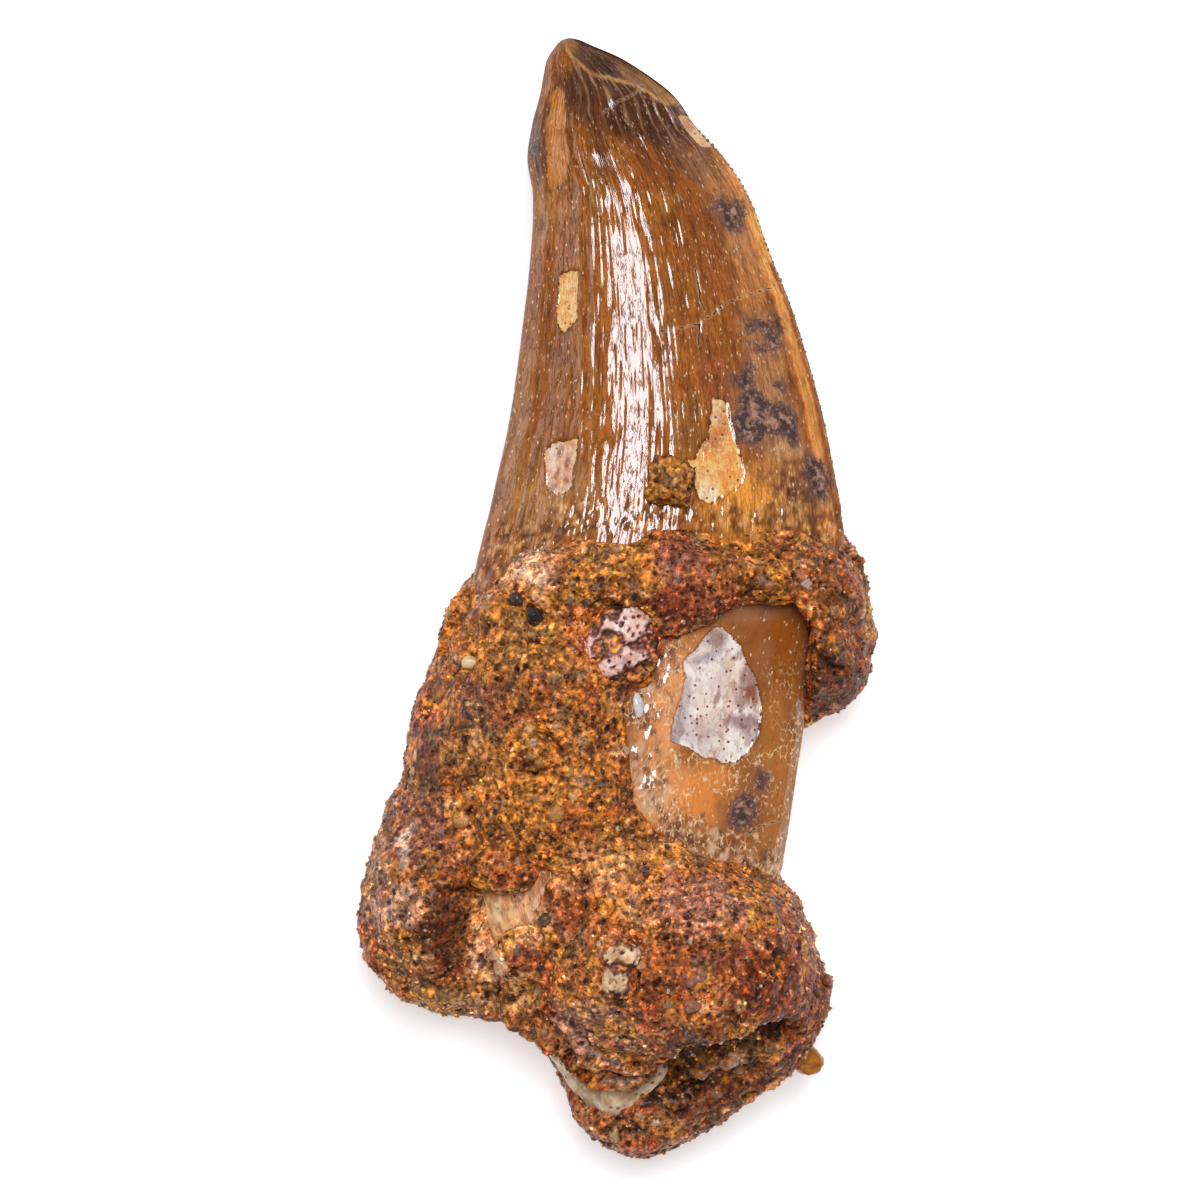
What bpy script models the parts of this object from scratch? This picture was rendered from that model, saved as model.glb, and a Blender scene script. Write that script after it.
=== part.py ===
"""Carcharodontosaurus tooth with the sandstone that is still cemented round its root.

The tooth lies on the flat underside of the stone, with its tip towards +Y, its serrated
front edge towards +X and one broad face up. Sizes are in millimetres until a mesh is made.
"""

import math

import bmesh
import bpy
from mathutils import Euler, Matrix, Vector, noise
from mathutils.bvhtree import BVHTree

MM = 0.001

# Fit between pieces
GAP = 0.3

# How finely balls are divided: swellings and bowls, larger bits, small bits
BALL_FINENESS = 4
BIT_FINENESS = 3
SMALL_BIT_FINENESS = 2

# Tooth: y, back edge x, front edge x, thickness and mid height at each station, tip first
TOOTH_STATIONS = (
    (50.5, -4.4, -4.4, 0.0, 8.8),
    (49.7, -5.6, -2.4, 2.2, 8.9),
    (48.3, -6.3, 1.0, 3.9, 9.0),
    (45.5, -6.8, 4.9, 5.6, 9.3),
    (42.3, -7.6, 7.3, 6.8, 9.6),
    (39.3, -8.0, 9.9, 7.8, 9.9),
    (35.9, -7.5, 12.0, 8.7, 10.2),
    (30.5, -7.7, 14.0, 9.8, 10.6),
    (25.1, -8.3, 16.1, 10.6, 10.9),
    (17.0, -9.4, 18.4, 11.8, 11.2),
    (8.9, -11.1, 20.0, 12.8, 11.4),
    (4.0, -12.3, 20.4, 13.3, 11.5),
    (-0.5, -13.2, 18.9, 13.7, 11.5),
    (-5.0, -13.8, 17.4, 14.0, 11.5),
    (-12.0, -14.4, 16.8, 14.2, 11.5),
    (-20.0, -14.4, 15.6, 14.0, 11.4),
    (-28.0, -12.6, 14.2, 13.2, 11.0),
    (-36.0, -8.9, 12.0, 11.6, 10.4),
    (-42.0, -5.6, 8.6, 9.4, 9.6),
    (-46.5, -2.4, 4.6, 6.0, 8.8),
    (-48.3, 0.9, 0.9, 0.0, 8.4),
)
RINGS_PER_STATION = 2
RING_POINTS = 26
RIDGE_AT = 0.38  # share of the width from the back edge to the highest line
CROWN_FULLNESS = 0.78  # 0.5 is an oval section, 1 is a sharp lens
ROOT_FULLNESS = 0.6
CROWN_ENDS_AT = 4.0
ROOT_STARTS_AT = -8.0

# Sandstone: outline seen from above, from the upper left round the root end to the crown
STONE_OUTLINE = (
    (-12.3, 2.7),
    (-14.2, -0.3),
    (-16.6, -6.0),
    (-18.5, -9.3),
    (-19.1, -13.5),
    (-19.4, -17.0),
    (-21.9, -22.0),
    (-23.0, -28.5),
    (-22.5, -32.7),
    (-20.2, -35.9),
    (-16.2, -37.8),
    (-9.2, -38.1),
    (-5.1, -42.2),
    (-4.5, -45.4),
    (-2.8, -48.6),
    (1.4, -50.9),
    (6.2, -49.2),
    (10.2, -47.1),
    (12.0, -45.2),
    (15.7, -43.6),
    (18.0, -40.5),
    (19.7, -36.2),
    (18.3, -32.6),
    (17.8, -29.2),
    (15.2, -25.8),
    (13.6, -22.0),
    (14.6, -12.6),
    (19.8, -10.3),
    (22.4, -8.4),
    (23.4, -4.5),
    (23.0, -1.0),
    (21.4, 3.0),
    (20.4, 6.5),
    (16.6, 6.7),
    (13.0, 5.1),
    (6.7, 6.6),
    (2.2, 7.2),
    (-5.0, 5.6),
    (-10.4, 4.5),
)
SLAB_BOTTOM = 2.2
SLAB_FULL_FROM = 5.0
SLAB_FULL_TO = 10.5
SLAB_TOP = 13.0
SLAB_BEVEL = 2.2

# Swellings of the sandstone: centre and radii
STONE_LUMPS = (
    # Collar round the crown base
    ((-8.0, -0.8, 13.6), (5.8, 5.6, 6.3)),
    ((-2.0, 1.4, 14.6), (7.5, 5.0, 6.6)),
    ((5.0, 1.6, 14.6), (7.5, 5.4, 6.6)),
    ((12.5, 1.4, 12.6), (7.5, 5.2, 6.5)),
    ((-0.5, -4.5, 15.4), (6.0, 6.0, 6.0)),
    # Knob on the front edge
    ((16.4, -2.2, 10.4), (6.2, 8.2, 8.2)),
    ((18.4, -5.5, 9.0), (4.3, 4.8, 6.5)),
    # Middle of the root and the back edge
    ((-6.0, -10.0, 11.8), (9.5, 11.5, 10.4)),
    ((-4.0, -18.5, 12.4), (9.5, 8.5, 9.0)),
    ((-13.0, -14.5, 9.0), (5.4, 9.0, 7.4)),
    ((-12.3, -5.5, 9.5), (3.8, 6.8, 7.0)),
    # Boulder beside the root
    ((-17.0, -27.0, 8.8), (5.7, 8.4, 8.4)),
    ((-14.0, -32.8, 7.5), (6.5, 4.2, 6.3)),
    # Mass over the root end
    ((1.5, -25.5, 13.0), (9.0, 5.5, 7.6)),
    ((7.2, -33.0, 12.6), (10.4, 10.0, 12.2)),
    ((-0.5, -34.0, 12.2), (6.8, 7.6, 9.6)),
    ((10.0, -28.0, 11.5), (5.8, 5.2, 8.5)),
    ((12.3, -38.0, 9.5), (5.6, 5.0, 8.0)),
    ((3.2, -44.5, 7.0), (7.4, 5.6, 6.0)),
    # Foot that the stone lies on
    ((-0.6, -16.3, 6.2), (13.0, 20.6, 8.4)),
)
STONE_VOXEL = 1.1
STONE_SMOOTHING = 4
STONE_ROUGHNESS = 1.6
STONE_GRAIN = 5.5
STONE_KEPT_SHARE = 0.24
GROUND_BLOCK = (120.0, 140.0, 20.0)  # all that lies below the ground

# Where the stone has broken away from the root: seen from above, down to a height
ROOT_WINDOW = (
    (7.6, -3.0),
    (9.8, -1.5),
    (11.9, -0.7),
    (15.7, -0.7),
    (17.4, -2.7),
    (17.5, -10.9),
    (21.0, -11.6),
    (21.0, -24.4),
    (15.2, -24.8),
    (11.2, -23.0),
    (4.7, -21.0),
    (2.8, -18.3),
    (2.6, -14.7),
    (3.4, -8.4),
    (5.0, -5.0),
)
ROOT_WINDOW_FLOOR = 9.0
CUT_TOP = 32.0

# Hollows in the stone that show more of the root: centre, radii and turn
STONE_HOLLOWS = (
    ("valley_hollow", (-9.9, -31.0, 19.3), (3.2, 5.2, 7.0), 12),
    ("root_end_hollow", (-3.2, -42.4, 16.5), (6.6, 2.6, 7.0), -50),
)

# Bits held by the stone: name, x, y, height of the middle over the stone, radii, turn, fineness
EMBEDDED_PIECES = (
    ("bone_fragment", 0.4, -4.1, -0.3, (3.3, 3.5, 1.7), 25, BIT_FINENESS),
    ("lower_bone_fragment", 0.5, -33.0, -0.5, (1.8, 3.0, 1.2), -10, BIT_FINENESS),
    ("quartz_chip", 1.9, -9.7, 0.0, (0.6, 1.3, 0.7), 8, SMALL_BIT_FINENESS),
    ("black_pebble", -7.3, -1.7, 0.1, (0.8, 0.85, 0.75), 0, SMALL_BIT_FINENESS),
    ("brown_pebble", -8.8, -0.3, 0.0, (0.65, 0.75, 0.7), 30, SMALL_BIT_FINENESS),
    ("cream_pebble", -13.1, -5.9, 0.1, (0.75, 0.65, 0.65), 0, SMALL_BIT_FINENESS),
)
# Pebbles on the stone's lower rim: name, centre, radii, turn and fineness
RIM_PIECES = (
    ("amber_pebble", (17.2, -41.8, 8.6), (1.75, 1.35, 1.3), -35, BIT_FINENESS),
    ("ochre_pebble", (12.3, -44.2, 7.6), (1.6, 1.1, 1.0), 15, SMALL_BIT_FINENESS),
    ("rim_pebble", (8.6, -42.5, 10.4), (1.0, 1.0, 1.0), 0, SMALL_BIT_FINENESS),
)
PIECE_LUMPINESS = 0.14
LUMP_FREQUENCY = 1.7

# Sand nodule on the crown
NODULE_PLACE = (4.8, 10.0)
NODULE_RADII = (2.25, 2.5, 2.4)

# Colour and roughness of each piece, none of which is metallic
FINISHES = {
    "tooth": ((0.42, 0.17, 0.04), 0.22),
    "sandstone": ((0.34, 0.16, 0.06), 0.8),
    "crown_nodule": ((0.36, 0.19, 0.06), 0.8),
    "bone_fragment": ((0.72, 0.5, 0.45), 0.6),
    "lower_bone_fragment": ((0.68, 0.47, 0.3), 0.6),
    "quartz_chip": ((0.75, 0.72, 0.7), 0.15),
    "black_pebble": ((0.03, 0.02, 0.02), 0.35),
    "brown_pebble": ((0.12, 0.06, 0.03), 0.4),
    "cream_pebble": ((0.75, 0.5, 0.25), 0.5),
    "amber_pebble": ((0.42, 0.2, 0.02), 0.25),
    "ochre_pebble": ((0.38, 0.18, 0.05), 0.4),
    "rim_pebble": ((0.42, 0.2, 0.07), 0.4),
}


def clear_scene():
    """Starts from an empty scene."""
    for old in list(bpy.data.objects):
        bpy.data.objects.remove(old, do_unlink=True)


def finish_of(name):
    """The material of one piece."""
    colour, roughness = FINISHES[name]
    material = bpy.data.materials.new(name)
    material.use_nodes = True
    shader = material.node_tree.nodes["Principled BSDF"]
    shader.inputs["Base Color"].default_value = (*colour, 1.0)
    shader.inputs["Roughness"].default_value = roughness
    shader.inputs["Metallic"].default_value = 0.0
    return material


def add_object(name, bm):
    """Turns a millimetre bmesh into an object in metres."""
    bmesh.ops.scale(bm, vec=(MM, MM, MM), verts=bm.verts)
    bmesh.ops.recalc_face_normals(bm, faces=bm.faces)
    mesh = bpy.data.meshes.new(name)
    bm.to_mesh(mesh)
    bm.free()
    obj = bpy.data.objects.new(name, mesh)
    bpy.context.scene.collection.objects.link(obj)
    return obj


def add_piece(name, bm):
    """A visible piece, shaded smooth, in its own material."""
    obj = add_object(name, bm)
    obj.data.shade_smooth()
    obj.data.materials.append(finish_of(name))
    return obj


def add_cutter(name, bm):
    """A helper that only shapes its neighbours."""
    obj = add_object(name, bm)
    obj.hide_render = True
    obj.display_type = "WIRE"
    return obj


def cut(obj, cutter):
    """Takes the cutter's volume out of the object."""
    modifier = obj.modifiers.new("without_" + cutter.name, "BOOLEAN")
    modifier.operation = "DIFFERENCE"
    modifier.solver = "EXACT"
    modifier.object = cutter


# Tooth


def smooth_value(before, start, end, after, share):
    """A point on the smooth curve from start to end."""
    slope = end - before
    bend = 2 * before - 5 * start + 4 * end - after
    twist = 3 * start - before - 3 * end + after
    return 0.5 * (2 * start + slope * share + bend * share**2 + twist * share**3)


def tooth_station(place):
    """Smoothed station values; place counts stations from the tip."""
    last = len(TOOTH_STATIONS) - 1
    first = min(int(place), last - 1)
    around = [TOOTH_STATIONS[min(max(first + step, 0), last)] for step in (-1, 0, 1, 2)]
    return [smooth_value(*values, place - first) for values in zip(*around)]


def fullness(y):
    """How sharp the section's edges are: keeled in the crown, round in the root."""
    share = (y - ROOT_STARTS_AT) / (CROWN_ENDS_AT - ROOT_STARTS_AT)
    share = min(max(share, 0.0), 1.0)
    return ROOT_FULLNESS + (CROWN_FULLNESS - ROOT_FULLNESS) * share


def section_height(across, power):
    """Height of the section over its mid plane, from 0 at either edge to 1 at the ridge."""
    skewed = across ** (math.log(0.5) / math.log(RIDGE_AT))
    return max(math.sin(math.pi * skewed), 0.0) ** power


def tooth_ring(bm, place, grow):
    """One lens-shaped ring of the tooth, grown outwards by a margin."""
    y, back, front, thickness, middle = tooth_station(place)
    back -= grow
    front += grow
    half = thickness / 2 + grow
    power = fullness(y)
    ring = []
    for point in range(RING_POINTS):
        angle = 2 * math.pi * point / RING_POINTS
        across = (1 - math.cos(angle)) / 2
        side = 1 if point <= RING_POINTS // 2 else -1
        height = side * half * section_height(across, power)
        ring.append(bm.verts.new((back + (front - back) * across, y, middle + height)))
    return ring


def tooth_shape(grow=0.0):
    """Crown and root as one loft from the tip to the root end."""
    bm = bmesh.new()
    last = len(TOOTH_STATIONS) - 1
    steps = last * RINGS_PER_STATION
    rings = [
        tooth_ring(bm, step / RINGS_PER_STATION, grow) for step in range(1, steps)
    ]
    for first, second in zip(rings, rings[1:]):
        for point in range(RING_POINTS):
            after = (point + 1) % RING_POINTS
            bm.faces.new((first[point], first[after], second[after], second[point]))
    ends = ((rings[0], TOOTH_STATIONS[0], grow), (rings[-1], TOOTH_STATIONS[-1], -grow))
    for ring, (y, back, _, _, middle), beyond in ends:
        pole = bm.verts.new((back, y + beyond, middle))
        for point in range(RING_POINTS):
            bm.faces.new((ring[point], ring[(point + 1) % RING_POINTS], pole))
    return bm


# Sandstone


def stone_shape():
    """A thick slab of the stone's outline with the swellings pushed through it."""
    bm = bmesh.new()
    rim = [bm.verts.new((x, y, SLAB_FULL_FROM)) for x, y in STONE_OUTLINE]
    floor = bm.faces.new(rim)
    raised = bmesh.ops.extrude_face_region(bm, geom=[floor])["geom"]
    roof = next(item for item in raised if isinstance(item, bmesh.types.BMFace))
    rise = SLAB_FULL_TO - SLAB_FULL_FROM
    bmesh.ops.translate(bm, vec=(0, 0, rise), verts=roof.verts)
    bm.faces.ensure_lookup_table()
    flat_faces = [face for face in bm.faces if len(face.verts) == len(STONE_OUTLINE)]
    for face in flat_faces:
        height = SLAB_TOP if face.calc_center_median().z > SLAB_FULL_FROM else SLAB_BOTTOM
        bmesh.ops.inset_region(bm, faces=[face], thickness=SLAB_BEVEL)
        for vert in face.verts:
            vert.co.z = height
    for centre, radii in STONE_LUMPS:
        place = Matrix.LocRotScale(Vector(centre), None, Vector(radii))
        bmesh.ops.create_icosphere(bm, subdivisions=BALL_FINENESS, radius=1.0, matrix=place)
    return bm


def melt(stone, name):
    """Makes one even skin of all that overlaps so far."""
    modifier = stone.modifiers.new(name, "REMESH")
    modifier.mode = "VOXEL"
    modifier.voxel_size = STONE_VOXEL * MM


def weather_stone(stone):
    """Melts the swellings together, breaks the stone off the root and wears the surface."""
    melt(stone, "melt_swellings")
    cut(stone, wall_cutter("root_window", ROOT_WINDOW, ROOT_WINDOW_FLOOR))
    for name, centre, radii, turn in STONE_HOLLOWS:
        cut(stone, hollow_cutter(name, centre, radii, turn))
    melt(stone, "melt_broken_edges")
    soften = stone.modifiers.new("soften", "SMOOTH")
    soften.iterations = STONE_SMOOTHING
    grain = bpy.data.textures.new("weathering", "CLOUDS")
    grain.noise_scale = STONE_GRAIN * MM
    weather = stone.modifiers.new("weather", "DISPLACE")
    weather.texture = grain
    weather.strength = STONE_ROUGHNESS * MM
    thin = stone.modifiers.new("thin", "DECIMATE")
    thin.ratio = STONE_KEPT_SHARE


def surface_tree(obj):
    """The object's evaluated surface, for finding heights on it."""
    bpy.context.view_layer.update()
    return BVHTree.FromObject(obj, bpy.context.evaluated_depsgraph_get())


def height_on(tree, x, y):
    """Height in millimetres of the top of a surface over one place."""
    above = Vector((x * MM, y * MM, CUT_TOP * MM))
    hit = tree.ray_cast(above, Vector((0, 0, -1)))[0]
    return hit.z / MM


def wall_cutter(name, outline, lowest):
    """A cutter with straight walls from a lowest height to above the stone."""
    bm = bmesh.new()
    floor = bm.faces.new([bm.verts.new((x, y, lowest)) for x, y in outline])
    raised = bmesh.ops.extrude_face_region(bm, geom=[floor])["geom"]
    roof = [item for item in raised if isinstance(item, bmesh.types.BMVert)]
    bmesh.ops.translate(bm, vec=(0, 0, CUT_TOP - lowest), verts=roof)
    return add_cutter(name, bm)


def hollow_cutter(name, centre, radii, turn):
    """A bowl-shaped cutter."""
    bm = bmesh.new()
    spin = Euler((0, 0, math.radians(turn))).to_quaternion()
    place = Matrix.LocRotScale(Vector(centre), spin, Vector(radii))
    bmesh.ops.create_icosphere(bm, subdivisions=BALL_FINENESS, radius=1.0, matrix=place)
    return add_cutter(name, bm)


def ground_cutter():
    """A block below the ground, which leaves the flat spot that the stone rests on."""
    bm = bmesh.new()
    middle = Vector((0, 0, -GROUND_BLOCK[2] / 2))
    place = Matrix.LocRotScale(middle, None, Vector(GROUND_BLOCK))
    bmesh.ops.create_cube(bm, size=1.0, matrix=place)
    return add_cutter("ground", bm)


# Embedded pieces


def rounded_bit(centre, radii, turn, detail, grow=0.0):
    """A worn pebble or splinter, with the same shape when it is grown into its socket."""
    bm = bmesh.new()
    bmesh.ops.create_icosphere(bm, subdivisions=detail, radius=1.0)
    own = Vector(centre)
    for vert in bm.verts:
        vert.co *= 1 + PIECE_LUMPINESS * noise.noise(vert.co * LUMP_FREQUENCY + own)
    bmesh.ops.scale(bm, vec=[radius + grow for radius in radii], verts=bm.verts)
    spin = Euler((0, 0, math.radians(turn))).to_matrix()
    bmesh.ops.rotate(bm, matrix=spin, verts=bm.verts)
    bmesh.ops.translate(bm, vec=centre, verts=bm.verts)
    return bm


def set_in_stone(stone, root_cutter, name, centre, radii, turn, detail):
    """Adds one bit in a socket of its own in the stone, clear of the tooth."""
    piece = add_piece(name, rounded_bit(centre, radii, turn, detail))
    cut(piece, root_cutter)
    socket = rounded_bit(centre, radii, turn, detail, GAP)
    cut(stone, add_cutter(name + "_socket", socket))


def build():
    """Builds every piece."""
    clear_scene()
    tooth = add_piece("tooth", tooth_shape())
    tooth_space = add_cutter("tooth_space", tooth_shape(GAP))

    stone = add_piece("sandstone", stone_shape())
    weather_stone(stone)
    stone_surface = surface_tree(stone)
    cut(stone, ground_cutter())
    cut(stone, tooth_space)

    for name, x, y, rise, radii, turn, detail in EMBEDDED_PIECES:
        centre = (x, y, height_on(stone_surface, x, y) + rise)
        set_in_stone(stone, tooth_space, name, centre, radii, turn, detail)
    for name, centre, radii, turn, detail in RIM_PIECES:
        set_in_stone(stone, tooth_space, name, centre, radii, turn, detail)

    x, y = NODULE_PLACE
    centre = (x, y, height_on(surface_tree(tooth), x, y))
    nodule = add_piece("crown_nodule", rounded_bit(centre, NODULE_RADII, 0, BIT_FINENESS))
    cut(nodule, tooth_space)


build()
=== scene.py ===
"""The looks of a fossil tooth that lies on its side, with gritty sandstone round its root.

Lengths are in millimetres until a mesh is made. Markings are placed where they show in the
1200-pixel photograph, so their places are its pixels, and each point of a surface is put
through the same camera to find which marks it carries.
"""

import itertools
import math

import bpy
import numpy as np
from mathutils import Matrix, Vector
from mathutils.bvhtree import BVHTree


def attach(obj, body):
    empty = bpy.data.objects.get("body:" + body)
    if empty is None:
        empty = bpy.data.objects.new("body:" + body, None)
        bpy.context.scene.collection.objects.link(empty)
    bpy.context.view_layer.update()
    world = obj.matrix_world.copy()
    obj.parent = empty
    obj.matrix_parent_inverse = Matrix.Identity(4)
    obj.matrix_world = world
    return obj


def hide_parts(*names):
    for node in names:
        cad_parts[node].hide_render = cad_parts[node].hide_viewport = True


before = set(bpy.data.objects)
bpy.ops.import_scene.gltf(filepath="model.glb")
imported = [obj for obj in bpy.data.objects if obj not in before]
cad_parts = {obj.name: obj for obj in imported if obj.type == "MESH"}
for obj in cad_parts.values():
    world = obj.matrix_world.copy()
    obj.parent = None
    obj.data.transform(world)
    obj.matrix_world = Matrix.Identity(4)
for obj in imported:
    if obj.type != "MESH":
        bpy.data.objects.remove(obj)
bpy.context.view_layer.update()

MM = 0.001
MERGE_REACH = 0.0000001

# Camera: straight over the fossil, as in the photograph
PHOTO_SIZE = 1200
VIEW_WIDTH = 108.0  # at the height of the tooth's middle
VIEW_HEIGHT = 11.0
CAMERA_DISTANCE = 600.0
CAMERA_OVER = (-1.44, -0.32)
SENSOR = 36.0

PIXEL = 0.09  # millimetres
MIDDLE_PIXEL = (616, 596.5)  # over the object's origin
FLOOR_SIZE = 1.3  # metres
FLOOR_COLOUR = (0.85, 0.85, 0.85)
FLOOR_GLOW = 0.5
SURROUND_LIGHT = 0.14
SURROUND_SEEN = 0.95
# Lights: name, direction, distance, width, length, power and colour
LIGHTS = (
    ("softbox", (0.05, 0.27, 1.0), 800, 320, 420, 5.9, (0.955, 1.0, 1.08)),
    ("side_light", (-1.0, 0.5, 0.8), 600, 260, 260, 0.25, (1, 1, 1)),
)

# Tooth: y, back edge x, front edge x, thickness and mid height at each station, tip first
TOOTH_STATIONS = np.array((
    (50.5, -4.2, -4.2, 0.0, 8.8),
    (50.3, -4.9, -3.3, 1.4, 8.8),
    (49.7, -5.5, -2.0, 2.4, 8.9),
    (48.3, -6.3, 1.0, 3.9, 9.0),
    (45.5, -6.8, 4.9, 5.6, 9.3),
    (42.3, -7.6, 7.3, 6.8, 9.6),
    (39.3, -8.0, 9.9, 7.8, 9.9),
    (35.9, -7.5, 12.0, 8.7, 10.2),
    (30.5, -7.7, 14.0, 9.8, 10.6),
    (25.1, -8.3, 16.1, 10.6, 10.9),
    (17.0, -9.4, 18.4, 11.8, 11.2),
    (8.9, -11.1, 20.0, 12.8, 11.4),
    (4.0, -12.3, 20.4, 13.3, 11.5),
    (-0.5, -13.2, 18.9, 13.7, 11.5),
    (-5.0, -13.8, 17.4, 14.0, 11.5),
    (-12.0, -14.4, 16.8, 14.2, 11.5),
    (-20.0, -14.4, 15.6, 14.0, 11.4),
    (-28.0, -12.6, 14.2, 13.2, 11.0),
    (-36.0, -8.9, 12.0, 11.6, 10.4),
    (-42.0, -5.6, 8.6, 9.4, 9.6),
    (-46.5, -2.4, 4.6, 6.0, 8.8),
    (-48.3, 0.9, 0.9, 0.0, 8.4),
))
RIDGE_AT = 0.38
CROWN_FULLNESS = 0.78
ROOT_FULLNESS = 0.6
CROWN_ENDS_AT = 4.0
ROOT_STARTS_AT = -8.0
SERRATED = (7, 42)  # y from the lowest to the highest denticle
SERRATION_SPACING = 0.57
SERRATION_SIZE = np.array((0.24, 0.21, 0.24))
SERRATION_COLOUR = np.array((0.34, 0.14, 0.04))
SEAM_AT = 0.2  # where crown and root meet, under the stone
SEAM_LAP = 0.6
SEAM_INSET = 0.08
LACQUER_IOR = 1.66
UPPER_COLUMNS = 356
LOWER_COLUMNS = 200
TOOTH_RINGS = 178

# Sandstone
STONE_VOXEL = 0.22
STONE_BANDS = ((-60, -29.6), (-30.6, -10.6), (-11.6, 20))
STONE_TOP = 24.55
GRAIN_SHARE = 0.07
GRAIN_PIECES = 4
GRAIN_RADIUS = 0.15
GRAIN_LIMITS = (0.07, 0.4)

# Linear colours
AMBER = (0.36, 0.125, 0.024)
CHOCOLATE = (0.085, 0.026, 0.01)
BROWN = (0.2, 0.065, 0.016)
CREAM = (0.86, 0.55, 0.28)
PINKISH = (0.52, 0.25, 0.15)
DARK_PURPLE = (0.05, 0.025, 0.025)
RED_BROWN = (0.3, 0.085, 0.035)
OCHRE = (0.42, 0.18, 0.04)
# Gains that match the colours to the photograph under the studio's light
CROWN_GAIN = (1.27, 1.09, 0.62)
ROOT_GAIN = (1.05, 0.87, 0.65)
STONE_GAIN = (1.64, 1.46, 1.24)
CRUMB_GAIN = (1.0, 0.84, 0.66)


# Random patterns


def scramble(x, y, z, seed):
    """A repeatable random value from 0 to 1 for each whole-numbered place."""
    mask = 0xFFFFFFFF
    mixed = (x * 374761393 + y * 668265263 + z * 1440662683 + seed * 974634777) & mask
    mixed = ((mixed ^ (mixed >> 15)) * 2246822519) & mask
    mixed = ((mixed ^ (mixed >> 13)) * 3266489917) & mask
    return (mixed ^ (mixed >> 16)) / mask


def lumps(points, size, seed=0):
    """Smooth random values from -1 to 1, with lumps of one size."""
    places = np.asarray(points) / size
    cells = np.floor(places).astype(np.int64)
    share = places - cells
    share = share * share * (3 - 2 * share)
    total = np.zeros(len(places))
    for corner in itertools.product((0, 1), repeat=3):
        weights = np.prod(np.where(corner, share, 1 - share), axis=1)
        total += weights * scramble(*(cells + corner).T, seed)
    return 2 * total - 1


def rough(points, size, levels, seed=0):
    """Lumps with smaller lumps on them, each level half as large as the last."""
    total = np.zeros(len(points))
    for level in range(levels):
        total += lumps(points, size / 2**level, seed + 17 * level) / 2**level
    return total


def shake(points, reach, size, levels, seed):
    """Random steps across and down, for edges that wander by about reach."""
    return reach * np.stack([rough(points, size, levels, seed + axis) for axis in (0, 1)], axis=1)


def nearest_dot(points, spacing, seed):
    """Distance to the nearest of scattered dots, in spacings, and that dot's random value."""
    places = np.asarray(points) / spacing
    cells = np.floor(places).astype(np.int64)
    closest = np.full(len(places), 9.0)
    value = np.zeros(len(places))
    for corner in itertools.product((-1, 0, 1), repeat=3):
        near = cells + corner
        dot = near + np.stack([scramble(*near.T, seed + axis) for axis in range(3)], axis=1)
        distance = np.linalg.norm(places - dot, axis=1)
        nearer = distance < closest
        closest = np.where(nearer, distance, closest)
        value = np.where(nearer, scramble(*near.T, seed + 3), value)
    return closest, value


def step_up(low, high, values):
    """0 below low, 1 above high and smooth between them."""
    share = np.clip((values - low) / (high - low), 0, 1)
    return share * share * (3 - 2 * share)


def blend(first, second, share):
    """Colours or points between first and second."""
    share = np.asarray(share)[..., None]
    return np.asarray(first) * (1 - share) + np.asarray(second) * share


# Places in the photograph


def in_photo(points):
    """Where points of the object show in the photograph, in its pixels."""
    points = np.asarray(points)
    scale = PHOTO_SIZE / VIEW_WIDTH * CAMERA_DISTANCE
    shrink = scale / (VIEW_HEIGHT + CAMERA_DISTANCE - points[:, 2])
    across = PHOTO_SIZE / 2 + (points[:, 0] - CAMERA_OVER[0]) * shrink
    down = PHOTO_SIZE / 2 - (points[:, 1] - CAMERA_OVER[1]) * shrink
    return np.stack([across, down], axis=1)


def edge_distances(places, corners, closed):
    """Distance from each place to the nearest stretch of a line."""
    corners = np.asarray(corners, float)
    ends = np.roll(corners, -1, axis=0)
    stretches = list(zip(corners, ends))
    if not closed:
        stretches.pop()
    best = np.full(len(places), 1e9)
    for start, end in stretches:
        along = end - start
        share = np.clip((places - start) @ along / (along @ along), 0, 1)
        away = np.linalg.norm(places - start - share[:, None] * along, axis=1)
        best = np.minimum(best, away)
    return best


def depth_inside(places, corners):
    """Distance from each place to an outline, above zero inside it and below zero outside."""
    corners = np.asarray(corners, float)
    inside = np.zeros(len(places), bool)
    for start, end in zip(corners, np.roll(corners, -1, axis=0)):
        if start[1] == end[1]:
            continue
        crosses = (start[1] > places[:, 1]) != (end[1] > places[:, 1])
        share = (places[:, 1] - start[1]) / (end[1] - start[1])
        inside ^= crosses & (places[:, 0] < start[0] + share * (end[0] - start[0]))
    distance = edge_distances(places, corners, True)
    return np.where(inside, distance, -distance)


def deepest(places, outlines):
    """depth_inside for whichever outline holds each place most deeply."""
    return np.max([depth_inside(places, outline) for outline in outlines], axis=0)


def patched(colours, places, patches):
    """Colours with soft-edged patches laid over them in turn: stains and tints, and in the stone's table
    painted shadows too.

    Each patch is x, y, half width, half height, turn in degrees, colour and strength.
    """
    for x, y, wide, high, turn, *colour, strength in patches:
        turn = math.radians(turn)
        away = places - (x, y)
        along = away @ (math.cos(turn), math.sin(turn)) / wide
        beside = away @ (-math.sin(turn), math.cos(turn)) / high
        reach = np.hypot(along, beside)
        colours = blend(colours, colour, strength * (1 - step_up(0.55, 1.2, reach)))
    return colours


# Meshes


def alone(obj):
    """Selects one object and nothing else."""
    bpy.ops.object.select_all(action="DESELECT")
    obj.select_set(True)
    bpy.context.view_layer.objects.active = obj


def points_of(obj):
    """The object's vertices, in millimetres."""
    flat = np.empty(len(obj.data.vertices) * 3, np.float32)
    obj.data.vertices.foreach_get("co", flat)
    return flat.reshape(-1, 3).astype(float) / MM


def normals_of(obj):
    """The object's vertex normals."""
    flat = np.empty(len(obj.data.vertices) * 3, np.float32)
    obj.data.vertex_normals.foreach_get("vector", flat)
    return flat.reshape(-1, 3).astype(float)


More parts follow.
